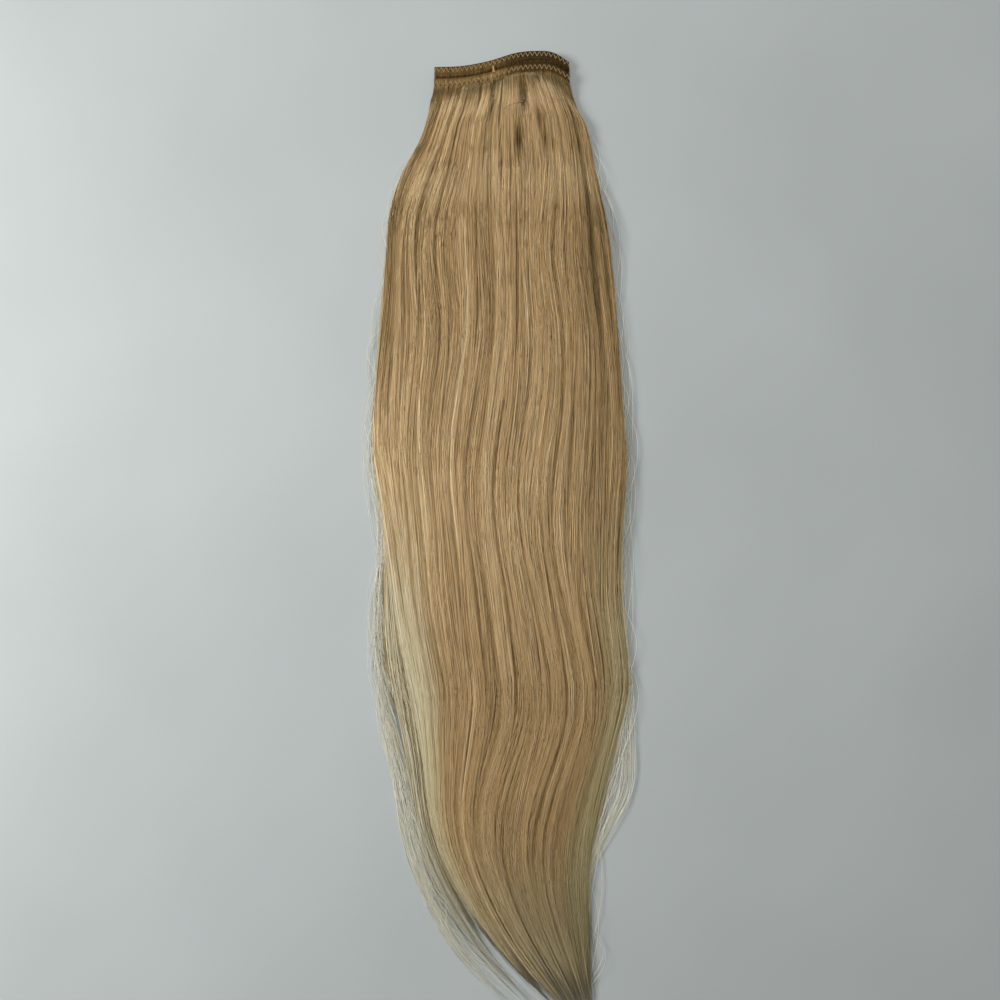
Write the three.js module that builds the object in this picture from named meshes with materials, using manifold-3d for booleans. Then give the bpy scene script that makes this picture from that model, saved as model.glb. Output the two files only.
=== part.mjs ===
// A clip-in hair extension lying flat: two sewn hair wefts, one stepped behind the other, with their hair
// combed down in a long S that gathers to a point, and two comb clips sewn under the rear weft.
// Millimetres. X runs along the wefts, Y from the hair's tips to the wefts, Z up from the surface it lies on.
import * as THREE from "three";
import { mergeVertices } from "three/addons/utils/BufferGeometryUtils.js";
import Module from "manifold-3d";

const wasm = await Module();
wasm.setup();
const { clamp, lerp, smoothstep } = THREE.MathUtils;

// Sizes of the hair
const hairFall = 586; // straight down from the front band to the longest tip
const hairSpan = 156; // the front layer where it spreads widest
const rearSwell = 3.0; // how far each layer's crown stands above its edges
const frontSwell = 4.6;
const rearEdge = 0.9; // thickness of each layer at its thin side edges and tips
const frontEdge = 0.8;
const clearance = 0.3; // between pieces that lie on or in each other
const rootBlend = 36; // over this distance below the front band the hair leaves the band's line
const waveFade = 90; // and here the weft's wave has died out
const clipSlope = 40; // over this distance the rear layer comes down from the clips
const bandSlope = 8; // and over this one a layer opens from between its band's lips

// Sizes of the two sewn bands. Each is a folded strip with the hair roots held between its lips
const weftSpan = 86.4; // along the band
const bandDepth = 5.2; // from the folded edge to the edge where the hair leaves
const bandLip = 1.0;
const foldWall = 1.4;
const rootSheet = 0.6; // the pressed roots between the lips
const bandGap = 3.6; // between the two bands, as seen from above
const foldRound = 0.8;

// Sizes of the comb clips
const clipLength = 28;
const clipWidth = 12;
const clipPlate = 1.0;
const clipHeight = 3.0; // plate and sewing rail together
const railWidth = 3.2;
const frameWidth = 1.8;
const toothCount = 8;
const toothWidth = 1.4;
const toothGap = 1.0; // from a tooth's free end to the frame
const clipCorner = 2.0;
const sewingHole = 0.7;
const clipInset = 1.2; // from the rear band's upper edge
const clipCentres = { left_clip: 0.24, right_clip: 0.7 }; // shares of weftSpan, from the left end

const bandThickness = 2 * (bandLip + clearance) + rootSheet;
const weftStep = bandDepth + bandGap; // the rear band lies this far up from the front band
const rootDepth = bandDepth / 2 - foldWall - clearance; // how far the roots reach above the band's middle
const rearBandBase = clipHeight + clearance;

// The line of the bands. along and rise are shares of weftSpan, lift is a share of the rear band's height. The
// weft waves across the top, and its right end droops to the surface.
const weftLine = [
  { along: 0.0, rise: -0.05, lift: 1.0 },
  { along: 0.2, rise: -0.042, lift: 1.0 },
  { along: 0.4, rise: -0.004, lift: 1.0 },
  { along: 0.6, rise: 0.058, lift: 1.0 },
  { along: 0.75, rise: 0.074, lift: 1.0 },
  { along: 0.88, rise: 0.062, lift: 1.0 },
  { along: 1.0, rise: 0.01, lift: 0.12 },
];

// The hair's flow. down is a share of hairFall. left to right are five flow lines of the front layer, as
// shares of hairSpan from the weft's middle, and swell is the share of each layer's crown.
const sections = [
  { down: 0.0, left: -0.305, leftMid: -0.15, middle: -0.008, rightMid: 0.175, right: 0.3, swell: 0.24 },
  { down: 0.055, left: -0.323, leftMid: -0.184, middle: -0.025, rightMid: 0.193, right: 0.348, swell: 0.6 },
  { down: 0.1, left: -0.405, leftMid: -0.216, middle: -0.029, rightMid: 0.213, right: 0.379, swell: 0.8 },
  { down: 0.15, left: -0.455, leftMid: -0.264, middle: -0.024, rightMid: 0.207, right: 0.415, swell: 0.9 },
  { down: 0.2, left: -0.47, leftMid: -0.279, middle: -0.012, rightMid: 0.195, right: 0.441, swell: 1.0 },
  { down: 0.28, left: -0.491, leftMid: -0.254, middle: -0.016, rightMid: 0.225, right: 0.463, swell: 1.0 },
  { down: 0.355, left: -0.509, leftMid: -0.28, middle: -0.048, rightMid: 0.216, right: 0.48, swell: 1.0 },
  { down: 0.41, left: -0.511, leftMid: -0.291, middle: -0.08, rightMid: 0.191, right: 0.491, swell: 1.0 },
  { down: 0.45, left: -0.485, leftMid: -0.279, middle: -0.087, rightMid: 0.175, right: 0.485, swell: 1.0 },
  { down: 0.505, left: -0.452, leftMid: -0.261, middle: -0.068, rightMid: 0.178, right: 0.467, swell: 1.0 },
  { down: 0.565, left: -0.414, leftMid: -0.248, middle: -0.028, rightMid: 0.216, right: 0.457, swell: 1.0 },
  { down: 0.62, left: -0.377, leftMid: -0.22, middle: 0.0, rightMid: 0.259, right: 0.479, swell: 1.0 },
  { down: 0.66, left: -0.345, leftMid: -0.196, middle: 0.016, rightMid: 0.282, right: 0.489, swell: 0.95 },
  { down: 0.7, left: -0.324, leftMid: -0.203, middle: 0.0, rightMid: 0.273, right: 0.452, swell: 0.9 },
  { down: 0.74, left: -0.304, leftMid: -0.202, middle: -0.047, rightMid: 0.225, right: 0.412, swell: 0.85 },
  { down: 0.78, left: -0.287, leftMid: -0.205, middle: -0.078, rightMid: 0.178, right: 0.372, swell: 0.8 },
  { down: 0.82, left: -0.248, leftMid: -0.178, middle: -0.07, rightMid: 0.15, right: 0.34, swell: 0.75 },
  { down: 0.86, left: -0.177, leftMid: -0.12, middle: -0.023, rightMid: 0.157, right: 0.327, swell: 0.65 },
  { down: 0.9, left: -0.085, leftMid: -0.039, middle: 0.046, rightMid: 0.196, right: 0.33, swell: 0.5 },
  { down: 0.94, left: 0.035, leftMid: 0.068, middle: 0.141, rightMid: 0.252, right: 0.337, swell: 0.32 },
  { down: 1.0, left: 0.262, leftMid: 0.284, middle: 0.31, rightMid: 0.341, right: 0.366, swell: 0.12 },
];

// How far the rear layer comes out past the front one on each side, as shares of hairSpan
const shows = [
  { down: 0.0, left: 0.008, right: 0.008 },
  { down: 0.36, left: 0.008, right: 0.008 },
  { down: 0.45, left: 0.02, right: 0.012 },
  { down: 0.51, left: 0.034, right: 0.016 },
  { down: 0.565, left: 0.079, right: 0.024 },
  { down: 0.62, left: 0.123, right: 0.024 },
  { down: 0.66, left: 0.142, right: 0.02 },
  { down: 0.7, left: 0.09, right: 0.024 },
  { down: 0.78, left: 0.08, right: 0.039 },
  { down: 0.86, left: 0.1, right: 0.019 },
  { down: 0.94, left: 0.108, right: 0.023 },
  { down: 1.0, left: 0.096, right: 0.019 },
];

// The locks that each layer is made of, from left to right. width is a share of the layer, furrow the depth
// of the furrows beside the lock as a share of the layer's swell, and reach where its tip lies, as a share of
// hairFall.
const frontLocks = [
  { width: 0.07, furrow: 0.12, reach: 0.93 },
  { width: 0.09, furrow: 0.22, reach: 0.955 },
  { width: 0.11, furrow: 0.16, reach: 0.975 },
  { width: 0.07, furrow: 0.26, reach: 0.96 },
  { width: 0.06, furrow: 0.14, reach: 0.99 },
  { width: 0.1, furrow: 0.24, reach: 1.0 },
  { width: 0.07, furrow: 0.15, reach: 0.985 },
  { width: 0.1, furrow: 0.28, reach: 0.995 },
  { width: 0.08, furrow: 0.14, reach: 0.975 },
  { width: 0.1, furrow: 0.24, reach: 0.985 },
  { width: 0.08, furrow: 0.18, reach: 0.96 },
  { width: 0.07, furrow: 0.12, reach: 0.945 },
];
const rearLocks = [
  { width: 0.1, furrow: 0.12, reach: 0.925 },
  { width: 0.14, furrow: 0.1, reach: 0.95 },
  { width: 0.13, furrow: 0.1, reach: 0.965 },
  { width: 0.14, furrow: 0.1, reach: 0.975 },
  { width: 0.13, furrow: 0.1, reach: 0.965 },
  { width: 0.13, furrow: 0.1, reach: 0.97 },
  { width: 0.13, furrow: 0.1, reach: 0.955 },
  { width: 0.1, furrow: 0.12, reach: 0.94 },
];
const tipNotch = 0.022; // how far the gap between two tips reaches up, as a share of hairFall
const tipsBegin = 0.6; // from here down the locks' own lengths begin to tell, as a share of hairFall

// Loose wisps beside the rear layer. out is how far the wisp's middle lies outside the layer's edge, as a
// share of hairSpan, and side is -1 for the left and 1 for the right.
const wispWidth = 4.4;
const wispEnd = 0.25; // share of the width and height left at a wisp's ends
const wispLift = 0.06;
const wispHeight = rearEdge - 4 * wispLift;
const wisps = [
  {
    side: -1,
    path: [
      { down: 0.63, out: -0.05 },
      { down: 0.68, out: 0.004 },
      { down: 0.72, out: 0.03 },
      { down: 0.78, out: 0.03 },
      { down: 0.84, out: 0.038 },
      { down: 0.89, out: 0.056 },
      { down: 0.93, out: 0.064 },
      { down: 0.965, out: 0.05 },
    ],
  },
  {
    side: 1,
    path: [
      { down: 0.64, out: -0.04 },
      { down: 0.69, out: 0.016 },
      { down: 0.73, out: 0.05 },
      { down: 0.765, out: 0.066 },
      { down: 0.8, out: 0.035 },
      { down: 0.85, out: -0.02 },
    ],
  },
];

// The value of one column of a table at a share between its rows, on a smooth curve through them
function smooth(rows, key, share, column) {
  const last = rows.length - 1;
  const above = rows.findIndex((row) => row[key] > share);
  const i = clamp(above < 0 ? last - 1 : above - 1, 0, last - 1);
  const [before, after] = [rows[Math.max(i - 1, 0)], rows[Math.min(i + 2, last)]];
  const [from, to] = [rows[i], rows[i + 1]];
  const step = to[key] - from[key];
  const slopeFrom = ((to[column] - before[column]) / (to[key] - before[key])) * step;
  const slopeTo = ((after[column] - from[column]) / (after[key] - from[key])) * step;
  const t = clamp((share - from[key]) / step, 0, 1);
  const [t2, t3] = [t * t, t * t * t];
  return (
    (2 * t3 - 3 * t2 + 1) * from[column] +
    (t3 - 2 * t2 + t) * slopeFrom +
    (3 * t2 - 2 * t3) * to[column] +
    (t3 - t2) * slopeTo
  );
}

// across runs from 0 at the front layer's left edge to 1 at its right edge. The rear layer reaches
// showShare past each side.
const showShare = 0.25;

function flowX(across, down) {
  const at = (column) => hairSpan * smooth(sections, "down", down, column);
  const lines = [
    { across: 0, x: at("left") },
    { across: 0.25, x: at("leftMid") },
    { across: 0.5, x: at("middle") },
    { across: 0.75, x: at("rightMid") },
    { across: 1, x: at("right") },
  ];
  const pastLeft = (Math.max(-across, 0) / showShare) * smooth(shows, "down", down, "left");
  const pastRight = (Math.max(across - 1, 0) / showShare) * smooth(shows, "down", down, "right");
  return smooth(lines, "across", clamp(across, 0, 1), "x") + hairSpan * (pastRight - pastLeft);
}

const weftX = (across) => (across - 0.5) * weftSpan;
const weftY = (across) => weftSpan * smooth(weftLine, "along", clamp(across, 0, 1), "rise");
const weftLift = (across) => smooth(weftLine, "along", clamp(across, 0, 1), "lift");

// Where a hair that leaves the weft at across lies on the plan, distance millimetres below the front band
function plan(across, distance) {
  const x = lerp(weftX(across), flowX(across, distance / hairFall), smoothstep(distance, 0, rootBlend));
  const y = weftY(across) * (1 - smoothstep(distance, 0, waveFade)) - distance;
  return [x, y];
}

// How far the rear layer reaches past the front one at a distance, as a share of the layer
const rearReach = (distance) => showShare * smoothstep(distance, 0, waveFade);

const crown = (share) => 1 - Math.abs(2 * clamp(share, 0, 1) - 1) ** 3;
const swellAt = (distance) => smooth(sections, "down", distance / hairFall, "swell");

// The rear layer lies on the surface, and rises over the clips to the rear band
const rearExit = bandDepth / 2 - weftStep; // where the hair leaves the rear band
const clipTop = weftStep + bandDepth / 2 - clipInset; // the clips' upper edge, above the front band's middle
const clipEnd = clipWidth - clipTop + 2; // just past their lower edge, below it
function rearUnder(across, distance) {
  const overClips = 1 - smoothstep(distance, clipEnd, clipEnd + clipSlope);
  const inBand = 1 - smoothstep(distance, rearExit, rearExit + bandSlope);
  return rearBandBase * weftLift(across) * overClips + (bandLip + clearance) * inBand;
}
function rearThickness(across, distance, furrow = 0) {
  const reach = rearReach(distance);
  const swell = rearSwell * swellAt(distance) * crown((across + reach) / (1 + 2 * reach));
  const open = smoothstep(distance, rearExit, rearExit + bandSlope);
  return lerp(rootSheet, rearEdge + swell * (1 - furrow), open);
}
const rearTop = (across, distance) => rearUnder(across, distance) + rearThickness(across, distance);

// The front band lies on the rear layer, and the front layer's hair comes down from it onto the same layer
function frontBandBase(across) {
  const touched = [-0.5, -0.25, 0, 0.25, 0.5].map((share) => rearTop(across, share * bandDepth));
  return Math.max(...touched) + clearance;
}
const frontExit = bandDepth / 2;
function frontUnder(across, distance) {
  const onRear = rearTop(across, distance) + clearance;
  const inBand = frontBandBase(across) + bandLip + clearance;
  return lerp(inBand, onRear, smoothstep(distance, frontExit, frontExit + bandSlope));
}
function frontThickness(across, distance, furrow = 0) {
  const swell = frontSwell * swellAt(distance) * crown(across);
  const open = smoothstep(distance, frontExit, frontExit + bandSlope);
  return lerp(rootSheet, frontEdge + swell * (1 - furrow), open);
}

// A closed sheet from two grids of points, columns from left to right and rows from the roots to the tips
function closedSheet(top, under) {
  const [columns, rows] = [top.length, top[0].length];
  const points = [...top.flat(), ...under.flat()];
  const topAt = (i, j) => i * rows + j;
  const underAt = (i, j) => columns * rows + i * rows + j;
  const faces = [];
  for (let i = 0; i < columns - 1; i++)
    for (let j = 0; j < rows - 1; j++) {
      faces.push(topAt(i, j), topAt(i, j + 1), topAt(i + 1, j + 1));
      faces.push(topAt(i, j), topAt(i + 1, j + 1), topAt(i + 1, j));
      faces.push(underAt(i, j), underAt(i + 1, j + 1), underAt(i, j + 1));
      faces.push(underAt(i, j), underAt(i + 1, j), underAt(i + 1, j + 1));
    }
  const rim = [];
  for (let j = 0; j < rows - 1; j++) rim.push([0, j]);
  for (let i = 0; i < columns - 1; i++) rim.push([i, rows - 1]);
  for (let j = rows - 1; j > 0; j--) rim.push([columns - 1, j]);
  for (let i = columns - 1; i > 0; i--) rim.push([i, 0]);
  rim.forEach(([i, j], k) => {
    const [nextI, nextJ] = rim[(k + 1) % rim.length];
    faces.push(topAt(i, j), underAt(i, j), underAt(nextI, nextJ));
    faces.push(topAt(i, j), underAt(nextI, nextJ), topAt(nextI, nextJ));
  });
  return geometryOf(points, faces);
}

function geometryOf(points, faces) {
  const geometry = new THREE.BufferGeometry();
  geometry.setAttribute("position", new THREE.Float32BufferAttribute(points.flat(), 3));
  geometry.setIndex(faces);
  return geometry;
}

// The columns of a layer: each lock has lockColumns of them, and neighbours share the column between them
function columnsOf(locks, lockColumns) {
  const whole = locks.reduce((sum, lock) => sum + lock.width, 0);
  const columns = [];
  let from = 0;
  locks.forEach((lock, n) => {
    const isLast = n === locks.length - 1;
    for (let k = 0; k < lockColumns + (isLast ? 1 : 0); k++) {
      const fromMiddle = (2 * k) / lockColumns - 1; // -1 and 1 at the lock's sides
      const neighbour = locks[n + Math.sign(fromMiddle)] ?? lock;
      const notch = Math.min(lock.reach, neighbour.reach) - tipNotch;
      columns.push({
        share: (from + (lock.width * k) / lockColumns) / whole,
        furrow: lock.furrow * fromMiddle ** 2,
        reach: lerp(lock.reach, notch, fromMiddle ** 2),
      });
    }
    from += lock.width;
  });
  return columns;
}

// The rows, as distances below the front band: close together where the hair leaves it, and even further down
const firstStep = 3;
const rowStep = 25;
const rowDistances = [bandDepth / 2];
let nextStep = firstStep;
while (rowDistances.at(-1) < hairFall - rowStep) {
  rowDistances.push(rowDistances.at(-1) + nextStep);
  nextStep = Math.min(nextStep * 1.35, rowStep);
}
rowDistances.push(hairFall);

// One layer of hair, as locks that are fused side by side from the roots and part at their tips.
// rootRows are the layer's own rows above the front band's lower edge.
function hairLayer({ locks, lockColumns, rootRows, acrossOf, underOf, thicknessOf }) {
  const [top, under] = [[], []];
  for (const { share, furrow, reach } of columnsOf(locks, lockColumns)) {
    const tells = (distance) => smoothstep(distance, tipsBegin * hairFall, hairFall);
    const ownRows = rowDistances.map((distance) => distance * lerp(1, reach, tells(distance)));
    const points = [...rootRows, ...ownRows].map((distance) => {
      const across = acrossOf(share, distance);
      const [x, y] = plan(across, distance);
      const low = underOf(across, distance);
      return { x, y, low, high: low + thicknessOf(across, distance, furrow) };
    });
    under.push(points.map(({ x, y, low }) => [x, y, low]));
    top.push(points.map(({ x, y, high }) => [x, y, high]));
  }
  return closedSheet(top, under);
}

// A closed loft through rings of points that share one outline
function loft(rings, outline) {
  const count = outline.length;
  const faces = [];
  for (let n = 0; n < rings.length - 1; n++)
    for (let k = 0; k < count; k++) {
      const [a, b] = [n * count + k, n * count + ((k + 1) % count)];
      faces.push(a, b, b + count, a, b + count, a + count);
    }
  const cap = THREE.ShapeUtils.triangulateShape(outline, []);
  const lastRing = (rings.length - 1) * count;
  for (const [a, b, c] of cap) faces.push(a, c, b, lastRing + a, lastRing + b, lastRing + c);
  return geometryOf(rings.flat(), faces);
}

// The folded strip's section: first number across the band towards its fold, second number up
function bandOutline() {
  const half = bandDepth / 2;
  const slotEnd = half - foldWall;
  const points = [new THREE.Vector2(-half, 0)];
  for (let k = 0; k <= 2; k++) {
    const angle = (k * Math.PI) / 4;
    const [side, up] = [half - foldRound * (1 - Math.sin(angle)), foldRound * (1 - Math.cos(angle))];
    points.push(new THREE.Vector2(side, up));
  }
  for (let k = 2; k >= 0; k--)
    points.push(new THREE.Vector2(points[1 + k].x, bandThickness - points[1 + k].y));
  points.push(new THREE.Vector2(-half, bandThickness));
  points.push(new THREE.Vector2(-half, bandThickness - bandLip));
  points.push(new THREE.Vector2(slotEnd, bandThickness - bandLip));
  points.push(new THREE.Vector2(slotEnd, bandLip));
  points.push(new THREE.Vector2(-half, bandLip));
  return points;
}

// A band along the weft's line, step millimetres above the front band
function band(step, baseOf) {
  const outline = bandOutline();
  const stations = 24;
  const rings = [];
  for (let n = 0; n <= stations; n++) {
    const across = n / stations;
    const y = weftY(across) + step;
    rings.push(outline.map(({ x: side, y: up }) => [weftX(across), y + side, baseOf(across) + up]));
  }
  return loft(rings, outline);
}

// A flat wisp of hair beside the rear layer's edge, thinning to both ends
function wisp({ side, path }) {
  const outline = Array.from({ length: 6 }, (_, k) => {
    const angle = (k * Math.PI) / 3;
    return new THREE.Vector2(Math.cos(angle), Math.sin(angle));
  });
  const stations = 16;
  const [first, last] = [path[0].down, path.at(-1).down];
  const rings = [];
  for (let n = 0; n <= stations; n++) {
    const down = lerp(first, last, n / stations);
    const edge = side < 0 ? -rearReach(down * hairFall) : 1 + rearReach(down * hairFall);
    const [x, y] = plan(edge, down * hairFall);
    const middle = x + side * hairSpan * smooth(path, "down", down, "out");
    const full = lerp(wispEnd, 1, Math.sin((Math.PI * n) / stations) ** 0.5);
    rings.push(
      outline.map((point) => [
        middle + (point.x * wispWidth * full) / 2,
        y,
        wispLift + ((1 + point.y / Math.sin(Math.PI / 3)) * wispHeight * full) / 2,
      ]),
    );
  }
  return loft(rings, outline);
}

// Joining, through closed solids that share their vertices
function solidOf(geometry) {
  const bare = geometry.index ? geometry.clone() : mergeVertices(geometry.clone());
  bare.deleteAttribute("normal");
  bare.deleteAttribute("uv");
  const merged = mergeVertices(bare, 1e-4);
  const vertProperties = merged.attributes.position.array;
  const triVerts = new Uint32Array(merged.index.array);
  return new wasm.Manifold(new wasm.Mesh({ numProp: 3, vertProperties, triVerts }));
}

function joined(geometries) {
  const whole = geometries.map(solidOf).reduce((sum, solid) => sum.add(solid));
  const { vertProperties, triVerts } = whole.getMesh();
  const geometry = new THREE.BufferGeometry();
  geometry.setAttribute("position", new THREE.BufferAttribute(vertProperties, 3));
  geometry.setIndex(new THREE.BufferAttribute(triVerts, 1));
  return geometry;
}

// The rear layer: its hair stays inside the band's ends at the roots, then comes out past the front layer
const rearInset = 0.03;
function rearLayer() {
  const sheet = hairLayer({
    locks: rearLocks,
    lockColumns: 3,
    rootRows: [-weftStep - rootDepth, rearExit, rearExit / 2, 0],
    acrossOf: (share, distance) => {
      const reach = rearReach(distance) - rearInset * (1 - smoothstep(distance, rearExit, rootBlend));
      return lerp(-reach, 1 + reach, share);
    },
    underOf: rearUnder,
    thicknessOf: rearThickness,
  });
  return joined([sheet, ...wisps.map(wisp)]);
}

function frontLayer() {
  return hairLayer({
    locks: frontLocks,
    lockColumns: 4,
    rootRows: [-rootDepth],
    acrossOf: (share) => share,
    underOf: frontUnder,
    thicknessOf: frontThickness,
  });
}

// One comb clip, lying flat: a framed comb whose teeth hang from the sewing rail
function clip() {
  const [halfLength, halfWidth] = [clipLength / 2, clipWidth / 2];
  const outer = new THREE.Shape();
  outer.moveTo(-halfLength + clipCorner, -halfWidth);
  outer.lineTo(halfLength - clipCorner, -halfWidth);
  outer.absarc(halfLength - clipCorner, -halfWidth + clipCorner, clipCorner, -Math.PI / 2, 0);
  outer.lineTo(halfLength, halfWidth);
  outer.lineTo(-halfLength, halfWidth);
  outer.lineTo(-halfLength, -halfWidth + clipCorner);
  outer.absarc(-halfLength + clipCorner, -halfWidth + clipCorner, clipCorner, Math.PI, 1.5 * Math.PI);

  const [windowLow, windowHigh] = [-halfWidth + frameWidth, halfWidth - railWidth];
  const windowHalf = halfLength - frameWidth;
  const pitch = (2 * windowHalf) / toothCount;
  const window = new THREE.Path();
  window.moveTo(-windowHalf, windowLow);
  window.lineTo(-windowHalf, windowHigh);
  for (let n = 0; n < toothCount; n++) {
    const middle = -windowHalf + pitch * (n + 0.5);
    window.lineTo(middle - toothWidth / 2, windowHigh);
    window.lineTo(middle - toothWidth / 2, windowLow + toothGap);
    window.lineTo(middle + toothWidth / 2, windowLow + toothGap);
    window.lineTo(middle + toothWidth / 2, windowHigh);
  }
  window.lineTo(windowHalf, windowHigh);
  window.lineTo(windowHalf, windowLow);
  window.closePath();

  const rail = new THREE.Shape();
  rail.moveTo(-halfLength, windowHigh);
  rail.lineTo(halfLength, windowHigh);
  rail.lineTo(halfLength, halfWidth);
  rail.lineTo(-halfLength, halfWidth);
  rail.closePath();
  const holes = [-1, 0, 1].map((side) => {
    const x = side * (halfLength - railWidth / 2);
    return new THREE.Path().absarc(x, halfWidth - railWidth / 2, sewingHole, 0, 2 * Math.PI);
  });
  outer.holes = [window, ...holes];
  rail.holes = holes;
  const plate = new THREE.ExtrudeGeometry(outer, { depth: clipPlate, bevelEnabled: false, curveSegments: 5 });
  const upper = new THREE.ExtrudeGeometry(rail, { depth: clipHeight, bevelEnabled: false, curveSegments: 5 });
  return joined([plate, upper]);
}

// The materials, with the colours of the real one
function material(color, roughness, metalness = 0) {
  return new THREE.MeshStandardMaterial({ color, roughness, metalness });
}
const honeyHair = material("#c09c68", 0.45);
const paleHair = material("#cdb888", 0.45);
const sewnHair = material("#6b5230", 0.6);
const clipSteel = material("#4a3c2c", 0.35, 0.8);

function mesh(name, geometry, finish) {
  const made = new THREE.Mesh(geometry, finish);
  made.name = name;
  return made;
}

const extension = new THREE.Group();
const rearBandAt = (across) => rearBandBase * weftLift(across);
extension.add(mesh("front_band", band(0, frontBandBase), sewnHair));
extension.add(mesh("rear_band", band(weftStep, rearBandAt), sewnHair));
extension.add(mesh("front_hair", frontLayer(), honeyHair));
extension.add(mesh("rear_hair", rearLayer(), paleHair));
for (const [name, along] of Object.entries(clipCentres)) {
  const made = mesh(name, clip(), clipSteel);
  const step = (clipLength / 2 / weftSpan) * 0.9;
  const slope = (weftY(along + step) - weftY(along - step)) / (2 * step * weftSpan);
  made.position.set(weftX(along), weftY(along) + clipTop - clipWidth / 2, 0);
  made.rotation.z = Math.atan(slope);
  extension.add(made);
}

// The origin is the middle of the whole, on the surface that it lies on
const whole = new THREE.Box3().setFromObject(extension);
const middle = whole.getCenter(new THREE.Vector3());
const origin = new THREE.Vector3(middle.x, middle.y, whole.min.z);
for (const piece of extension.children) piece.position.sub(origin);

export default extension;
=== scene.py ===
# %% [markdown]
# # A clip-in hair extension
# The real object is two machine-sewn strips of hair, called wefts, one stepped behind the other, with two comb
# clips underneath. It lies flat, and its hair runs down in a long S. The frame holds the solids at their real size,
# and this lesson dresses them: thousands of thin strands over a smooth body, sewn bands, thread, and enamelled
# clips. Everything is in metres, in the frame's own coordinates.

# %% The frame
import math
import bpy
import numpy as np
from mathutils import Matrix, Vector


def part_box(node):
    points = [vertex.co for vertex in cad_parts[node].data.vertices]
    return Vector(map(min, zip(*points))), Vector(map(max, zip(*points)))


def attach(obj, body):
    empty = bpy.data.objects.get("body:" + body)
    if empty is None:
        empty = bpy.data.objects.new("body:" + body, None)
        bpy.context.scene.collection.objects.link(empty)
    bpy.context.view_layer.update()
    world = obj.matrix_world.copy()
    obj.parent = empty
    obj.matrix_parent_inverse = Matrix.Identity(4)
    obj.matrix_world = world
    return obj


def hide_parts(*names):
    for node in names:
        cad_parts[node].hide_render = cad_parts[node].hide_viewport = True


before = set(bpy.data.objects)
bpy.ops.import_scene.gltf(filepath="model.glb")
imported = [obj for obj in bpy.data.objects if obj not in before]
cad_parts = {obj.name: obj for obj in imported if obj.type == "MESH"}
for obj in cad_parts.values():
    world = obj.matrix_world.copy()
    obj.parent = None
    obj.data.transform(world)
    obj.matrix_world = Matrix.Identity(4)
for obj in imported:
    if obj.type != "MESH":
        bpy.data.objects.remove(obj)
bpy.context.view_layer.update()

MM = 0.001
rng = np.random.default_rng(24)

# %% [markdown]
# ## Sizes
# The solids were worked out from a few sizes and short tables of shares, and the strands have to follow the same
# flow. So the lesson repeats those sizes and tables. The weft's place is read from the frame: the front band's box
# gives the middle of the weft, and its lowest edge gives the line that the hair's length is measured from.

# %% Sizes and tables
HAIR_FALL = 586 * MM  # straight down from the front band's line to the longest tip
HAIR_SPAN = 156 * MM
REAR_SWELL, FRONT_SWELL = 3.0 * MM, 4.6 * MM
REAR_EDGE, FRONT_EDGE = 0.9 * MM, 0.8 * MM
CLEARANCE = 0.3 * MM
ROOT_BLEND, WAVE_FADE, CLIP_SLOPE, BAND_SLOPE = 36 * MM, 90 * MM, 40 * MM, 8 * MM
WEFT_SPAN = 86.4 * MM
BAND_DEPTH, BAND_LIP, ROOT_SHEET = 5.2 * MM, 1.0 * MM, 0.6 * MM
BAND_GAP = 3.6 * MM
CLIP_WIDTH, CLIP_HEIGHT, CLIP_INSET = 12 * MM, 3.0 * MM, 1.2 * MM
SHOW_SHARE, REAR_INSET = 0.25, 0.03

BAND_THICKNESS = 2 * (BAND_LIP + CLEARANCE) + ROOT_SHEET
WEFT_STEP = BAND_DEPTH + BAND_GAP
REAR_BAND_BASE = CLIP_HEIGHT + CLEARANCE
FRONT_EXIT = BAND_DEPTH / 2
REAR_EXIT = BAND_DEPTH / 2 - WEFT_STEP
CLIP_END = CLIP_WIDTH - (WEFT_STEP + BAND_DEPTH / 2 - CLIP_INSET) + 2 * MM


def table(columns, rows):
    """One array of numbers for each named column."""
    return dict(zip(columns.split(), np.array(rows, float).T))


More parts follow.
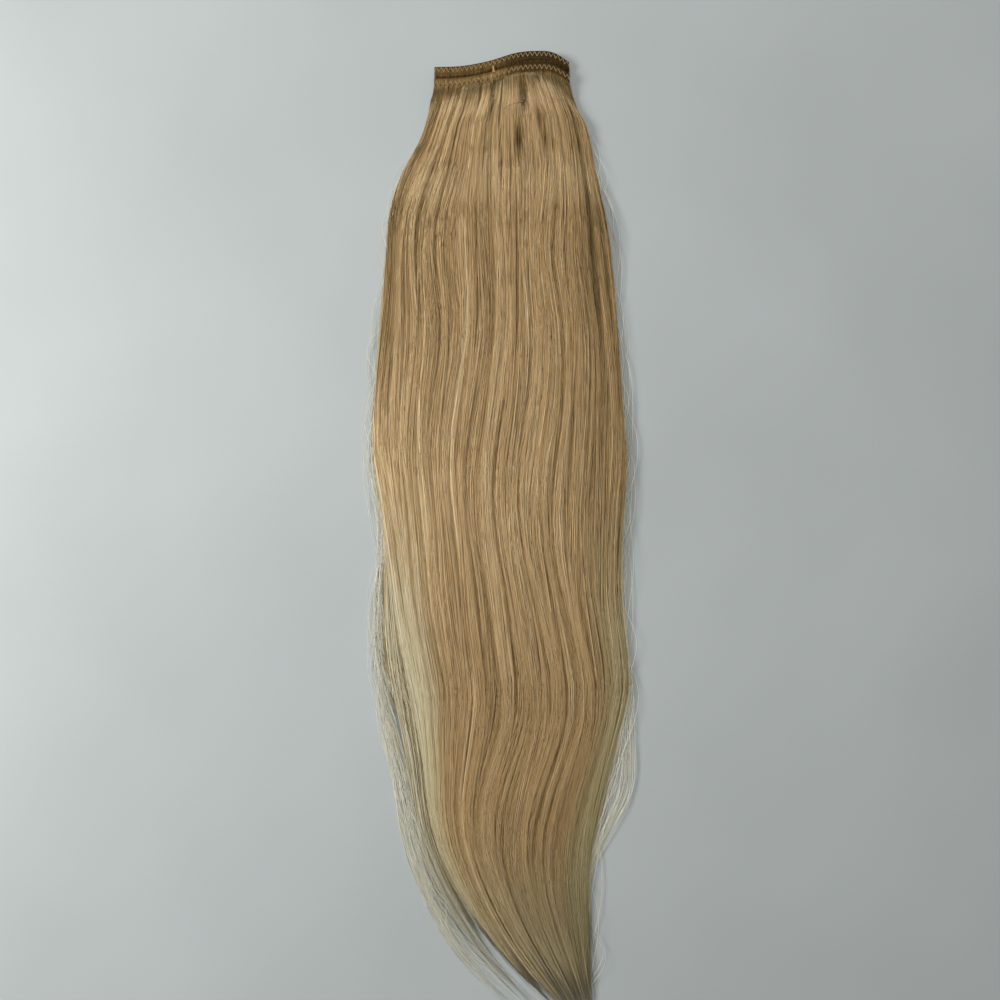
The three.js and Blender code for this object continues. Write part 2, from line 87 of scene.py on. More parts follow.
weft_line = table("along rise lift", [
    [0.0, -0.05, 1.0],
    [0.2, -0.042, 1.0],
    [0.4, -0.004, 1.0],
    [0.6, 0.058, 1.0],
    [0.75, 0.074, 1.0],
    [0.88, 0.062, 1.0],
    [1.0, 0.01, 0.12],
])
sections = table("down left left_mid middle right_mid right swell", [
    [0.0, -0.305, -0.15, -0.008, 0.175, 0.3, 0.24],
    [0.055, -0.323, -0.184, -0.025, 0.193, 0.348, 0.6],
    [0.1, -0.405, -0.216, -0.029, 0.213, 0.379, 0.8],
    [0.15, -0.455, -0.264, -0.024, 0.207, 0.415, 0.9],
    [0.2, -0.47, -0.279, -0.012, 0.195, 0.441, 1.0],
    [0.28, -0.491, -0.254, -0.016, 0.225, 0.463, 1.0],
    [0.355, -0.509, -0.28, -0.048, 0.216, 0.48, 1.0],
    [0.41, -0.511, -0.291, -0.08, 0.191, 0.491, 1.0],
    [0.45, -0.485, -0.279, -0.087, 0.175, 0.485, 1.0],
    [0.505, -0.452, -0.261, -0.068, 0.178, 0.467, 1.0],
    [0.565, -0.414, -0.248, -0.028, 0.216, 0.457, 1.0],
    [0.62, -0.377, -0.22, 0.0, 0.259, 0.479, 1.0],
    [0.66, -0.345, -0.196, 0.016, 0.282, 0.489, 0.95],
    [0.7, -0.324, -0.203, 0.0, 0.273, 0.452, 0.9],
    [0.74, -0.304, -0.202, -0.047, 0.225, 0.412, 0.85],
    [0.78, -0.287, -0.205, -0.078, 0.178, 0.372, 0.8],
    [0.82, -0.248, -0.178, -0.07, 0.15, 0.34, 0.75],
    [0.86, -0.177, -0.12, -0.023, 0.157, 0.327, 0.65],
    [0.9, -0.085, -0.039, 0.046, 0.196, 0.33, 0.5],
    [0.94, 0.035, 0.068, 0.141, 0.252, 0.337, 0.32],
    [1.0, 0.262, 0.284, 0.31, 0.341, 0.366, 0.12],
])
shows = table("down left right", [
    [0.0, 0.008, 0.008],
    [0.36, 0.008, 0.008],
    [0.45, 0.02, 0.012],
    [0.51, 0.034, 0.016],
    [0.565, 0.079, 0.024],
    [0.62, 0.118, 0.024],
    [0.66, 0.132, 0.02],
    [0.7, 0.118, 0.024],
    [0.78, 0.085, 0.039],
    [0.86, 0.1, 0.019],
    [0.94, 0.108, 0.023],
    [1.0, 0.096, 0.019],
])
front_locks = table("width reach", [
    [0.07, 0.93], [0.09, 0.955], [0.11, 0.975], [0.07, 0.96], [0.06, 0.99], [0.1, 1.0],
    [0.07, 0.985], [0.1, 0.995], [0.08, 0.985], [0.1, 0.99], [0.08, 0.985], [0.07, 0.975],
])
rear_locks = table("width reach", [
    [0.1, 0.925], [0.14, 0.95], [0.13, 0.965], [0.14, 0.975],
    [0.13, 0.965], [0.13, 0.97], [0.13, 0.955], [0.1, 0.94],
])

band_low, band_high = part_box("front_band")
WEFT_X = (band_low[0] + band_high[0]) / 2
WEFT_Y = band_low[1] + BAND_DEPTH / 2 - WEFT_SPAN * weft_line["rise"].min()
print(f"weft line at x {WEFT_X / MM:.2f} mm, y {WEFT_Y / MM:.2f} mm")

# %% [markdown]
# ## The flow of the hair
# A strand is told by two numbers: across, its share of the layer's width, and distance, how far below the front
# band a point on it lies. A smooth curve through the tables turns them into a place. Moving a strand then means
# changing across, and a whole lock can sway by the same sum, which keeps neighbours side by side as combed hair is.

# %% Flow
def mix(low, high, share):
    return low + (high - low) * share


def smoothstep(value, low, high):
    t = np.clip((value - low) / (high - low), 0, 1)
    return t * t * (3 - 2 * t)


def hermite(start, slope_start, end, slope_end, t):
    t2, t3 = t * t, t * t * t
    return ((2 * t3 - 3 * t2 + 1) * start + (t3 - 2 * t2 + t) * slope_start
            + (3 * t2 - 2 * t3) * end + (t3 - t2) * slope_end)


def smooth(rows, key, share, column):
    """The value of a column at a share between the table's rows, on a smooth curve through them."""
    keys, values = rows[key], rows[column]
    share = np.clip(share, keys[0], keys[-1])
    i = np.clip(np.searchsorted(keys, share, side="right") - 1, 0, len(keys) - 2)
    before, after = np.maximum(i - 1, 0), np.minimum(i + 2, len(keys) - 1)
    step = keys[i + 1] - keys[i]
    slope_start = (values[i + 1] - values[before]) / (keys[i + 1] - keys[before]) * step
    slope_end = (values[after] - values[i]) / (keys[after] - keys[i]) * step
    return hermite(values[i], slope_start, values[i + 1], slope_end, (share - keys[i]) / step)


def flow_x(across, down):
    names = ("left", "left_mid", "middle", "right_mid", "right")
    lines = np.stack([smooth(sections, "down", down, name) for name in names])
    place = np.clip(across, 0, 1) * (len(names) - 1)
    i = np.minimum(place.astype(int), len(names) - 2)

    def line(k):
        return np.take_along_axis(lines, np.clip(k, 0, len(names) - 1)[None], 0)[0]

    slope_start = (line(i + 1) - line(i - 1)) / np.where(i > 0, 2, 1)
    slope_end = (line(i + 2) - line(i)) / np.where(i < len(names) - 2, 2, 1)
    inside = hermite(line(i), slope_start, line(i + 1), slope_end, place - i)
    past_left = np.maximum(-across, 0) / SHOW_SHARE * smooth(shows, "down", down, "left")
    past_right = np.maximum(across - 1, 0) / SHOW_SHARE * smooth(shows, "down", down, "right")
    return HAIR_SPAN * (inside + past_right - past_left)


def weft_rise(across):
    return WEFT_SPAN * smooth(weft_line, "along", across, "rise")


def plan(across, distance):
    """Where a point lies as seen from above."""
    across, distance = np.broadcast_arrays(np.asarray(across, float), distance)
    at_weft = (across - 0.5) * WEFT_SPAN
    x = mix(at_weft, flow_x(across, distance / HAIR_FALL), smoothstep(distance, 0, ROOT_BLEND))
    y = weft_rise(across) * (1 - smoothstep(distance, 0, WAVE_FADE)) - distance
    return WEFT_X + x, WEFT_Y + y


# %% [markdown]
# ## The height of the layers
# The rear layer lies on the surface and climbs over the clips to its band. The front layer lies on the rear one.
# Both are thickest in the middle and thin at the sides. The same sums made the solids, so the strands lie where
# the solids are.

# %% Heights
def rear_reach(distance):
    return SHOW_SHARE * smoothstep(distance, 0, WAVE_FADE)


def crown(share):
    return 1 - np.abs(2 * np.clip(share, 0, 1) - 1) ** 3


def swell(distance):
    return smooth(sections, "down", distance / HAIR_FALL, "swell")


def rear_under(across, distance):
    lift = smooth(weft_line, "along", across, "lift")
    over_clips = 1 - smoothstep(distance, CLIP_END, CLIP_END + CLIP_SLOPE)
    in_band = 1 - smoothstep(distance, REAR_EXIT, REAR_EXIT + BAND_SLOPE)
    return REAR_BAND_BASE * lift * over_clips + (BAND_LIP + CLEARANCE) * in_band


def rear_top(across, distance):
    reach = rear_reach(distance)
    full = REAR_EDGE + REAR_SWELL * swell(distance) * crown((across + reach) / (1 + 2 * reach))
    opened = smoothstep(distance, REAR_EXIT, REAR_EXIT + BAND_SLOPE)
    return rear_under(across, distance) + mix(ROOT_SHEET, full, opened)


def front_band_base(across):
    shares = (-0.5, -0.25, 0, 0.25, 0.5)
    touched = [rear_top(across, np.full_like(across, share * BAND_DEPTH)) for share in shares]
    return np.max(touched, axis=0) + CLEARANCE


def front_under(across, distance):
    in_band = front_band_base(across) + BAND_LIP + CLEARANCE
    on_rear = rear_top(across, distance) + CLEARANCE
    return mix(in_band, on_rear, smoothstep(distance, FRONT_EXIT, FRONT_EXIT + BAND_SLOPE))


def front_top(across, distance):
    full = FRONT_EDGE + FRONT_SWELL * swell(distance) * crown(across)
    opened = smoothstep(distance, FRONT_EXIT, FRONT_EXIT + BAND_SLOPE)
    return front_under(across, distance) + mix(ROOT_SHEET, full, opened)


middle_line = np.linspace(0, HAIR_FALL, 5)
print("front layer's height down the middle, mm:", (front_top(np.full(5, 0.5), middle_line) / MM).round(1))

# %% [markdown]
# ## Camera
# The picture was taken from almost straight above, with the far end of the hair a little nearer. A 27 mm lens on a
# 36 mm sensor, 0.47 m up and tilted 3.4 degrees, gives the same frame, and the picture's middle lies 270 mm below
# the front band's line.

# %% Camera
CAMERA_DISTANCE = 469.4 * MM
CAMERA_TILT = math.radians(3.4)
PICTURE_MIDDLE = Vector((WEFT_X - 1.3 * MM, WEFT_Y - 270 * MM, 0))

camera = bpy.data.objects.new("camera", bpy.data.cameras.new("camera"))
camera.data.lens = 27
camera.data.sensor_width = 36
camera.data.clip_start = 0.01
back = Vector((0, -math.sin(CAMERA_TILT), math.cos(CAMERA_TILT)))
camera.location = PICTURE_MIDDLE + CAMERA_DISTANCE * back
camera.rotation_euler = back.to_track_quat("Z", "Y").to_euler()
bpy.context.scene.collection.objects.link(camera)
bpy.context.scene.camera = camera
print(f"camera at {tuple(round(v, 4) for v in camera.location)}")

# %% [markdown]
# ## Light
# Hair shows its shape by highlights: a strand shines where it lies square to the half-way line between the lamp and
# the eye, and goes dull where it slopes the other way. So the lamp beyond the wefts is a narrow bar, which makes
# every slow bend of the hair show as a bright and a dull bar. A soft box low on the left shades each lock's right
# side and throws the shadow to the right, and a large dim one overhead fills the furrows.

# %% Light
def soft_box(name, place, size, watts):
    lamp = bpy.data.objects.new(name, bpy.data.lights.new(name, "AREA"))
    lamp.data.shape = "RECTANGLE"
    lamp.data.size, lamp.data.size_y = size
    lamp.data.energy = watts
    lamp.location = place
    lamp.rotation_euler = Vector(place).to_track_quat("Z", "Y").to_euler()
    bpy.context.scene.collection.objects.link(lamp)
    return lamp


key = soft_box("key_light", (-0.95, 0.08, 0.62), (0.25, 0.4), 11.2)
bar = soft_box("bar_light", (-0.1, 1.3, 1.15), (0.9, 0.14), 10.5)
overhead = soft_box("overhead_light", (0.0, 0.0, 1.6), (1.2, 1.2), 4)
world = bpy.data.worlds.new("soft_daylight")
world.use_nodes = True
world.node_tree.nodes["Background"].inputs["Color"].default_value = (0.93, 0.97, 1.0, 1)
world.node_tree.nodes["Background"].inputs["Strength"].default_value = 0.24
bpy.context.scene.world = world
bpy.context.scene.view_settings.view_transform = "Standard"  # keeps the colours as they are written below
print("lights:", [lamp.data.energy for lamp in (key, bar, overhead)], "W")

# %% [markdown]
# ## Making meshes from arrays
# Thousands of strands are too many to build one by one. A mesh can be filled from whole arrays instead, in a few
# calls whatever its size, and it can keep named numbers at its points for the material to read.

# %% Meshes from arrays
def new_piece(name, vertices, corners, corner_counts, numbers=None, maps=None, smooth_faces=True):
    """An object from arrays: vertices (n, 3), the corners of all faces in one row, and how many each face has."""
    mesh = bpy.data.meshes.new(name)
    starts = np.concatenate([[0], np.cumsum(corner_counts)[:-1]])
    mesh.vertices.add(len(vertices))
    mesh.vertices.foreach_set("co", np.asarray(vertices, np.float32).ravel())
    mesh.loops.add(len(corners))
    mesh.loops.foreach_set("vertex_index", np.asarray(corners, np.int32))
    mesh.polygons.add(len(corner_counts))
    mesh.polygons.foreach_set("loop_start", starts.astype(np.int32))
    mesh.polygons.foreach_set("use_smooth", np.full(len(corner_counts), smooth_faces))
    mesh.update(calc_edges=True)
    for label, values in (numbers or {}).items():
        mesh.attributes.new(label, "FLOAT", "POINT").data.foreach_set("value", np.asarray(values, np.float32).ravel())
    for label, places in (maps or {}).items():
        layer = mesh.uv_layers.new(name=label)
        layer.data.foreach_set("uv", np.asarray(places, np.float32).ravel())
    piece = bpy.data.objects.new(name, mesh)
    bpy.context.scene.collection.objects.link(piece)
    return piece


# %% [markdown]
# ## Tubes
# A strand is a closed tube with three sides, far too thin for anyone to count them. One function turns an array of
# paths into one mesh with all their tubes, so a thousand strands cost no more calls than one. Each tube keeps two
# numbers for its material, tone and pale, and a map for baking in which every tube has a narrow upright strip.

# %% Tubes
def tube_rings(paths, radii, sides):
    """The corners of rings around each path: paths (n, p, 3) and radii (n, p) give (n, p, sides, 3)."""
    along = np.gradient(paths, axis=1)
    along /= np.linalg.norm(along, axis=2, keepdims=True) + 1e-12
    across = np.cross(along, [0.0, 0.0, 1.0])
    flat = np.linalg.norm(across, axis=2, keepdims=True)
    across = np.where(flat > 0.05, across / np.maximum(flat, 1e-9), [1.0, 0.0, 0.0])
    up = np.cross(across, along)
    angles = 2 * np.pi * np.arange(sides) / sides + np.pi / 2
    spokes = (across[:, :, None] * np.cos(angles)[:, None] + up[:, :, None] * np.sin(angles)[:, None])
    return paths[:, :, None] + spokes * radii[:, :, None, None]


STRIP_ROWS = 4  # the baking map has its strips in this many rows


def tubes(name, paths, radii, numbers=None, sides=3):
    """One mesh with a closed tube along each path."""
    count, steps = paths.shape[:2]
    rings = tube_rings(paths, radii, sides)
    base = (np.arange(count) * steps * sides)[:, None, None]
    ring = (np.arange(steps - 1) * sides)[None, :, None]
    side = np.arange(sides)[None, None, :]
    after = (side + 1) % sides
    walls = np.stack([base + ring + side, base + ring + after, base + ring + sides + after,
                      base + ring + sides + side], axis=-1)
    caps_root = base[:, :, 0] + np.arange(sides)[::-1]
    caps_tip = base[:, :, 0] + (steps - 1) * sides + np.arange(sides)
    corners = np.concatenate([walls.ravel(), caps_root.ravel(), caps_tip.ravel()])
    corner_counts = np.concatenate([np.full(walls.size // 4, 4), np.full(2 * count, sides)])

    per_row = -(-count // STRIP_ROWS)
    left = (np.arange(count) % per_row)[:, None, None] / per_row
    low = (np.arange(count) // per_row)[:, None, None] / STRIP_ROWS
    v0 = low + np.broadcast_to(np.arange(steps - 1)[None, :, None] / (steps - 1), walls.shape[:3]) / STRIP_ROWS
    v1 = low + np.broadcast_to(np.arange(1, steps)[None, :, None] / (steps - 1), walls.shape[:3]) / STRIP_ROWS
    u0 = np.broadcast_to(left, walls.shape[:3])
    u1 = u0 + 1 / per_row
    wall_map = np.stack([np.stack([u0, v0], -1), np.stack([u1, v0], -1), np.stack([u1, v1], -1),
                         np.stack([u0, v1], -1)], axis=3)
    turn = 2 * np.pi * np.arange(sides) / sides
    spot = np.stack([0.5 + 0.4 * np.cos(turn), 0.5 + 0.4 * np.sin(turn)], -1)
    strip = np.array([1 / per_row, 0.5 / (steps - 1) / STRIP_ROWS])
    root_corner = np.stack([left[:, 0, 0], low[:, 0, 0]], -1)[:, None]
    root_map = root_corner + spot[::-1] * strip
    tip_map = root_corner + [0, 1 / STRIP_ROWS - strip[1]] + spot * strip
    places = np.concatenate([wall_map.reshape(-1, 2), root_map.reshape(-1, 2), tip_map.reshape(-1, 2)])

    numbers = {label: np.repeat(np.broadcast_to(values, (count, steps))[:, :, None], sides, 2)
               for label, values in (numbers or {}).items()}
    return new_piece(name, rings.reshape(-1, 3), corners, corner_counts, numbers, {"OFBake": places})


# %% [markdown]
# ## Closed bodies
# Each layer also needs one smooth body under its strands. It is two grids of points, its upper and its lower face,
# joined round the rim. Its map runs across the layer and along the hair, so that streaks can follow the flow.

# %% Closed bodies
def closed_sheet(name, top, under, numbers):
    """A closed body between two grids of points, (columns, rows, 3), columns from left to right."""
    columns, rows = top.shape[:2]
    index = np.arange(columns * rows).reshape(columns, rows)
    below = index + columns * rows

    def quads(a, b, c, d):
        return np.stack([a, b, c, d], -1).reshape(-1, 4)

    faces = [quads(index[:-1, :-1], index[:-1, 1:], index[1:, 1:], index[1:, :-1]),
             quads(below[:-1, :-1], below[1:, :-1], below[1:, 1:], below[:-1, 1:])]
    rim_top = np.concatenate([index[0, :-1], index[:-1, -1], index[-1, :0:-1], index[:0:-1, 0]])
    rim_under = rim_top + columns * rows
    faces.append(quads(rim_top, rim_under, np.roll(rim_under, -1), np.roll(rim_top, -1)))
    faces = np.concatenate(faces)
    u = np.repeat(np.linspace(0, 1, columns)[:, None], rows, 1)
    v = np.repeat(np.linspace(0, 1, rows)[None], columns, 0)
    places = np.tile(np.stack([u, v], -1).reshape(-1, 2), (2, 1))[faces.ravel()]
    vertices = np.concatenate([top.reshape(-1, 3), under.reshape(-1, 3)])
    numbers = {label: np.tile(values.ravel(), 2) for label, values in numbers.items()}
    return new_piece(name, vertices, faces.ravel(), np.full(len(faces), 4), numbers, {"flow": places})


# %% [markdown]
# ## Materials
# Colours are written as sRGB hex, as a colour picker shows them, and one function turns them to the linear values
# that the shader works in. One more adds a node with its settings and links. The tape, the thread, the enamel and
# the floor are each one noise that sets the colour, and the bumps where there are any, so they share a function.

# %% Colours and nodes
def linear(hex_colour):
    parts = [int(hex_colour[i:i + 2], 16) / 255 for i in (1, 3, 5)]
    return tuple(p / 12.92 if p <= 0.04045 else ((p + 0.055) / 1.055) ** 2.4 for p in parts) + (1.0,)


def add(tree, kind, settings=None, links=None, stops=()):
    """A new node. settings fill its sockets and properties, links join its sockets to other nodes' outputs, and
    stops are a ramp's colours as (place, hex)."""
    node = tree.nodes.new(kind)
    for name, value in (settings or {}).items():
        if isinstance(name, int) or name in node.inputs:
            node.inputs[name].default_value = value
        else:
            setattr(node, name, value)
    for name, source in (links or {}).items():
        tree.links.new(source, node.inputs[name])
    for i, (place, hex_colour) in enumerate(stops):
        ramp = node.color_ramp.elements
        element = ramp[i] if i < len(ramp) else ramp.new(place)
        element.position, element.color = place, linear(hex_colour)
    return node


def new_material(name, shader_settings):
    material = bpy.data.materials.new(name)
    material.use_nodes = True
    tree = material.node_tree
    shader = tree.nodes["Principled BSDF"]
    for socket, value in shader_settings.items():
        shader.inputs[socket].default_value = value
    return material, tree, shader


def mottled(name, finish, scale, stops, detail=2.0, stretch=(1, 1, 1), relief=None):
    """A material whose colour follows a noise. relief is the strength and the depth of its bumps."""
    material, tree, shader = new_material(name, finish)
    place = add(tree, "ShaderNodeTexCoord").outputs["Object"]
    stretched = add(tree, "ShaderNodeMapping", {"Scale": stretch}, {"Vector": place})
    noise = add(tree, "ShaderNodeTexNoise", {"Scale": scale, "Detail": detail}, {"Vector": stretched.outputs[0]})
    colour = add(tree, "ShaderNodeValToRGB", links={"Fac": noise.outputs["Fac"]}, stops=stops)
    tree.links.new(colour.outputs["Color"], shader.inputs["Base Color"])
    if relief:
        strength, depth = relief
        bump = add(tree, "ShaderNodeBump", {"Strength": strength, "Distance": depth}, {"Height": noise.outputs["Fac"]})
        tree.links.new(bump.outputs["Normal"], shader.inputs["Normal"])
    return material


# %% [markdown]
# ## Hair fibre
# This is bleached human hair: a clear tube of keratin, 0.07 mm thick, whose cuticle of flat scales gives a silky
# highlight with soft edges. Its index is 1.55 and its roughness about 0.35. A real head of it would need a hundred
# thousand fibres, so each strand here stands for a small bundle 0.4 mm thick. Bleach takes hold unevenly, which is
# why one strand is honey and the next is straw: tone picks the place between them, and pale moves a strand towards
# the cream of the thin ends. Both are numbers stored on the mesh, and a fine noise along the strand breaks them up.
# Tone also carries painted shade: near the bands, in the partings, at the front layer's right edge and over its
# lower half, and painted light and shade across the bands.

# %% Hair fibre materials
# The highlight is warm, since much of it comes back out of the fibre through its colour
FIBRE = {"IOR": 1.55, "Metallic": 0.0, "Specular IOR Level": 0.6, "Specular Tint": linear("#f6e2b4")}


def hair_fibre(name, honey, cream, roughness, shine=FIBRE["Specular IOR Level"]):
    material, tree, shader = new_material(name, {**FIBRE, "Roughness": roughness, "Specular IOR Level": shine})
    tone = add(tree, "ShaderNodeAttribute", {"attribute_name": "tone"}).outputs["Fac"]
    pale = add(tree, "ShaderNodeAttribute", {"attribute_name": "pale"}).outputs["Fac"]
    along = add(tree, "ShaderNodeTexCoord").outputs["Object"]
    # Patches 30 mm long and 0.6 mm wide: the real ones are finer, and are drawn coarser so that they show
    stretched = add(tree, "ShaderNodeMapping", {"Scale": (1600, 33, 1600)}, {"Vector": along})
    patches = add(tree, "ShaderNodeTexNoise", {"Scale": 1.0, "Detail": 2.0}, {"Vector": stretched.outputs[0]})
    shifted = add(tree, "ShaderNodeMath", {"operation": "MULTIPLY_ADD", 1: 0.3}, {0: patches.outputs["Fac"]})
    lowered = add(tree, "ShaderNodeMath", {"operation": "SUBTRACT", 1: 0.15}, {0: tone})
    tree.links.new(lowered.outputs[0], shifted.inputs[2])
    honey_colour, cream_colour = (
        add(tree, "ShaderNodeValToRGB", links={"Fac": shifted.outputs[0]}, stops=stops).outputs["Color"]
        for stops in (honey, cream))
    mixed = add(tree, "ShaderNodeMix", {"data_type": "RGBA"}, {0: pale, 6: honey_colour, 7: cream_colour})
    tree.links.new(mixed.outputs[2], shader.inputs["Base Color"])
    return material


honey_stops = [(0.0, "#4b3818"), (0.25, "#8b6c42"), (0.55, "#b99769"), (0.8, "#d5b789"), (1.0, "#edd8ac")]
cream_stops = [(0.0, "#93845a"), (0.35, "#b3a67d"), (0.7, "#cdc2a1"), (1.0, "#f0ead6")]
white_stops = [(0.0, "#bdb99d"), (0.5, "#e6e6d4"), (1.0, "#fcfdf3")]
front_fibre = hair_fibre("bleached_hair_honey", honey_stops, cream_stops, 0.32)
rear_fibre = hair_fibre("bleached_hair_straw", honey_stops, cream_stops, 0.36)
loose_fibre = hair_fibre("bleached_hair_single", honey_stops, white_stops, 0.3)
print("hair fibre: three materials, from honey to near white")

# %% [markdown]
# ## The mass of hair under the strands
# Below the strands that catch the light lies hair that only shows through gaps. It is one closed body with the
# layer's own shape, in the same hair's colours painted darker: painted shade, as it lies deeper. Streaks run along
# the flow map: 0.5 mm wide on the layer's 150 mm, which is 300 across, and about 60 mm long. In a deep parting one
# looks down to the bottom of the layer, so a number on the mesh, deep, paints darker shade there.

# %% Under body material
def hair_mass(name, dark, light, tips):
    material, tree, shader = new_material(name, {**FIBRE, "Roughness": 0.6})
    flow = add(tree, "ShaderNodeUVMap", {"uv_map": "flow"}).outputs["UV"]
    stretched = add(tree, "ShaderNodeMapping", {"Scale": (300, 10, 1)}, {"Vector": flow})
    streaks = add(tree, "ShaderNodeTexNoise", {"Scale": 1.0, "Detail": 4.0}, {"Vector": stretched.outputs[0]})
    along = add(tree, "ShaderNodeSeparateXYZ", links={"Vector": flow}).outputs["Y"]
    near_tips = add(tree, "ShaderNodeMapRange", {"From Min": 0.72, "From Max": 0.95}, {"Value": along})
    colour = add(tree, "ShaderNodeValToRGB", links={"Fac": streaks.outputs["Fac"]}, stops=[(0.3, dark), (0.7, light)])
    faded = add(tree, "ShaderNodeMix", {"data_type": "RGBA", 7: linear(tips)},
                {0: near_tips.outputs[0], 6: colour.outputs["Color"]})
    deep = add(tree, "ShaderNodeAttribute", {"attribute_name": "deep"}).outputs["Fac"]
    # Painted shade at the bottom of deep partings: deep mixes in a dark brown
    mixed = add(tree, "ShaderNodeMix", {"data_type": "RGBA", 7: linear("#4a3312")}, {0: deep, 6: faded.outputs[2]})
    tree.links.new(mixed.outputs[2], shader.inputs["Base Color"])
    bump = add(tree, "ShaderNodeBump", {"Strength": 0.5, "Distance": 0.0004}, {"Height": streaks.outputs["Fac"]})
    tree.links.new(bump.outputs["Normal"], shader.inputs["Normal"])
    return material


# The mass's colours are the hair's own, painted darker as shade
front_mass = hair_mass("hair_mass_honey", "#6b5230", "#997b50", "#a18b5f")
rear_mass = hair_mass("hair_mass_straw", "#857548", "#bfae7e", "#b9ab82")

# %% [markdown]
# ## Bends and partings
# Below the band the front layer is bent up and down twice, where the weft was folded for storage. These bends of a
# millimetre or two are what give the two bright bars there.
#
# Where the tie thread pulls the weft together and where the hair was last bent, the front layer parts. A parting is
# a short furrow: the strands on each side move away from its line, and those in it sink. Each row of the table has
# its place across the layer at its top and at its end, its first and last millimetre below the band, its half width
# as a share of the layer, and its depth in millimetres. The first six are the ones that the eye finds at once.

# %% Bends and partings
bends = table("distance height", [
    [0, 0.9], [3, 0.9], [10, -0.7], [27, 1.4], [50, -1.4], [57, -1.4], [88, 2.0], [98, 2.0], [128, -1.1], [150, -0.9],
    [230, 0.9], [300, 0.6], [360, 0.2], [430, 0.4], [500, 0.0], [600, 0.0],
])
partings = table("top end first last width depth", [
    [0.348, 0.354, 5, 20, 0.007, 1.9],
    [0.43, 0.46, 6, 23, 0.012, 2.8],
    [0.505, 0.535, 8, 70, 0.005, 1.5],
    [0.65, 0.632, 11, 27, 0.018, 3.6],
    [0.612, 0.6, 37, 56, 0.015, 2.1],
    [0.694, 0.722, 24, 46, 0.01, 2.2],
    [0.16, 0.17, 40, 150, 0.008, 1.0],
    [0.25, 0.27, 25, 240, 0.007, 0.9],
    [0.44, 0.42, 190, 400, 0.006, 0.9],
    [0.56, 0.54, 210, 420, 0.006, 1.1],
    [0.64, 0.66, 170, 380, 0.006, 0.8],
    [0.8, 0.86, 150, 430, 0.006, 0.7],
    [0.35, 0.36, 250, 460, 0.005, 0.7],
    [0.21, 0.22, 330, 500, 0.006, 0.6],
    [0.73, 0.71, 300, 500, 0.006, 0.8],
    [0.47, 0.45, 330, 480, 0.005, 0.7],
    [0.92, 0.93, 20, 160, 0.012, 1.0],
    [0.06, 0.07, 15, 120, 0.01, 1.0],
])


def part_hair(across, distance):
    """How far each point moves across, and how far it sinks, for all the partings."""
    push, sink = np.zeros_like(across), np.zeros_like(across)
    for top, end, first, last, width, depth in zip(*partings.values()):
        along = (distance / MM - first) / (last - first)
        opened = smoothstep(along, -0.12, 0.1) * (1 - smoothstep(along, 0.75, 1.15))
        off = (across - mix(top, end, along)) / width
        bell = opened * np.exp(-off ** 2)
        push += 0.7 * width * off * bell
        sink += depth * MM * bell
    return push, sink


def bend(across, distance):
    """The layer's slow rise and fall, which comes a few millimetres earlier or later from lock to lock."""
    late = 3 * MM * np.sin(17 * across) + 2 * MM * np.sin(41 * across + 1)
    return MM * smooth(bends, "distance", (distance + late) / MM, "height")


def deep_part(across, distance):
    """How far the mass of hair sinks: it follows the deep partings only, not the shallow ones."""
    sink = part_hair(across, distance)[1]
    return sink * smoothstep(sink, 0.8 * MM, 2.4 * MM)


def front_surface(across, distance):
    """The front layer's upper side with its bends and deep partings."""
    opened = smoothstep(distance, FRONT_EXIT, FRONT_EXIT + BAND_SLOPE)
    moved = (bend(across, distance) - deep_part(across, distance)) * opened
    return np.maximum(front_top(across, distance) + moved, front_under(across, distance) + 0.2 * MM)


# %% [markdown]
# ## Locks
# Combed hair falls into locks of uneven width and length. The solids have twelve wide ones in front and eight
# behind, and here they are cut into narrower ones. A table of locks says where each has its middle, how wide it is,
# how far it reaches and how crowded it is. At the sides of the rear layer a few thin ones stand apart.

# %% Locks
def lock_table(locks, pieces, unevenness):
    """Cuts a layer's locks into narrower ones: where each has its middle, how wide it is and where it ends."""
    widths = rng.uniform(1 - unevenness, 1 + unevenness, pieces)
    widths /= widths.sum()
    centres = np.cumsum(widths) - widths / 2
    edges = np.cumsum(locks["width"]) / locks["width"].sum()
    reach = locks["reach"][np.minimum(np.searchsorted(edges, centres), len(edges) - 1)]
    reach = reach + rng.uniform(-0.014, 0.008, pieces)
    return {"centre": centres, "width": widths, "reach": reach, "crowd": widths, "thin": np.zeros(pieces)}


def join_tables(first, second):
    return {column: np.concatenate([first[column], second[column]]) for column in first}


def thin_locks(low, high, pieces, width, crowd):
    """Separate thin locks scattered between two shares of a layer's width, with nothing between them."""
    centres = np.linspace(low, high, pieces) + rng.uniform(-0.3, 0.3, pieces) * (high - low) / pieces
    widths = rng.uniform(0.5, 1.6, pieces) * width
    reach = rng.uniform(0.9, 0.995, pieces)
    crowd = rng.uniform(0.6, 1.4, pieces) * crowd / pieces
    return {"centre": centres, "width": widths, "reach": reach, "crowd": crowd, "thin": np.ones(pieces)}


# %% [markdown]
# ## The body of each layer
# The body keeps inside the strands: its sides are drawn in, and its lower end is ragged and stops short. So the
# outline is made by hair alone, and the thin side of the rear layer lets the floor through. The body takes the place
# of the solid, which stays for collision.

# %% Layer bodies
BODY_COLUMNS, BODY_ROWS = 91, 49
BODY_SINK = 1.5 * MM
DEEPEST_PART = 4 * MM  # a parting as deep as this would show the mass at its darkest
FRONT_START, REAR_START = -0.5 * MM, REAR_EXIT - 3 * MM  # where the hair begins, inside its band


def reach_at(locks, share):
    edges = np.cumsum(locks["width"]) / locks["width"].sum()
    middles = edges - locks["width"] / locks["width"].sum() / 2
    return np.interp(share, middles, locks["reach"])


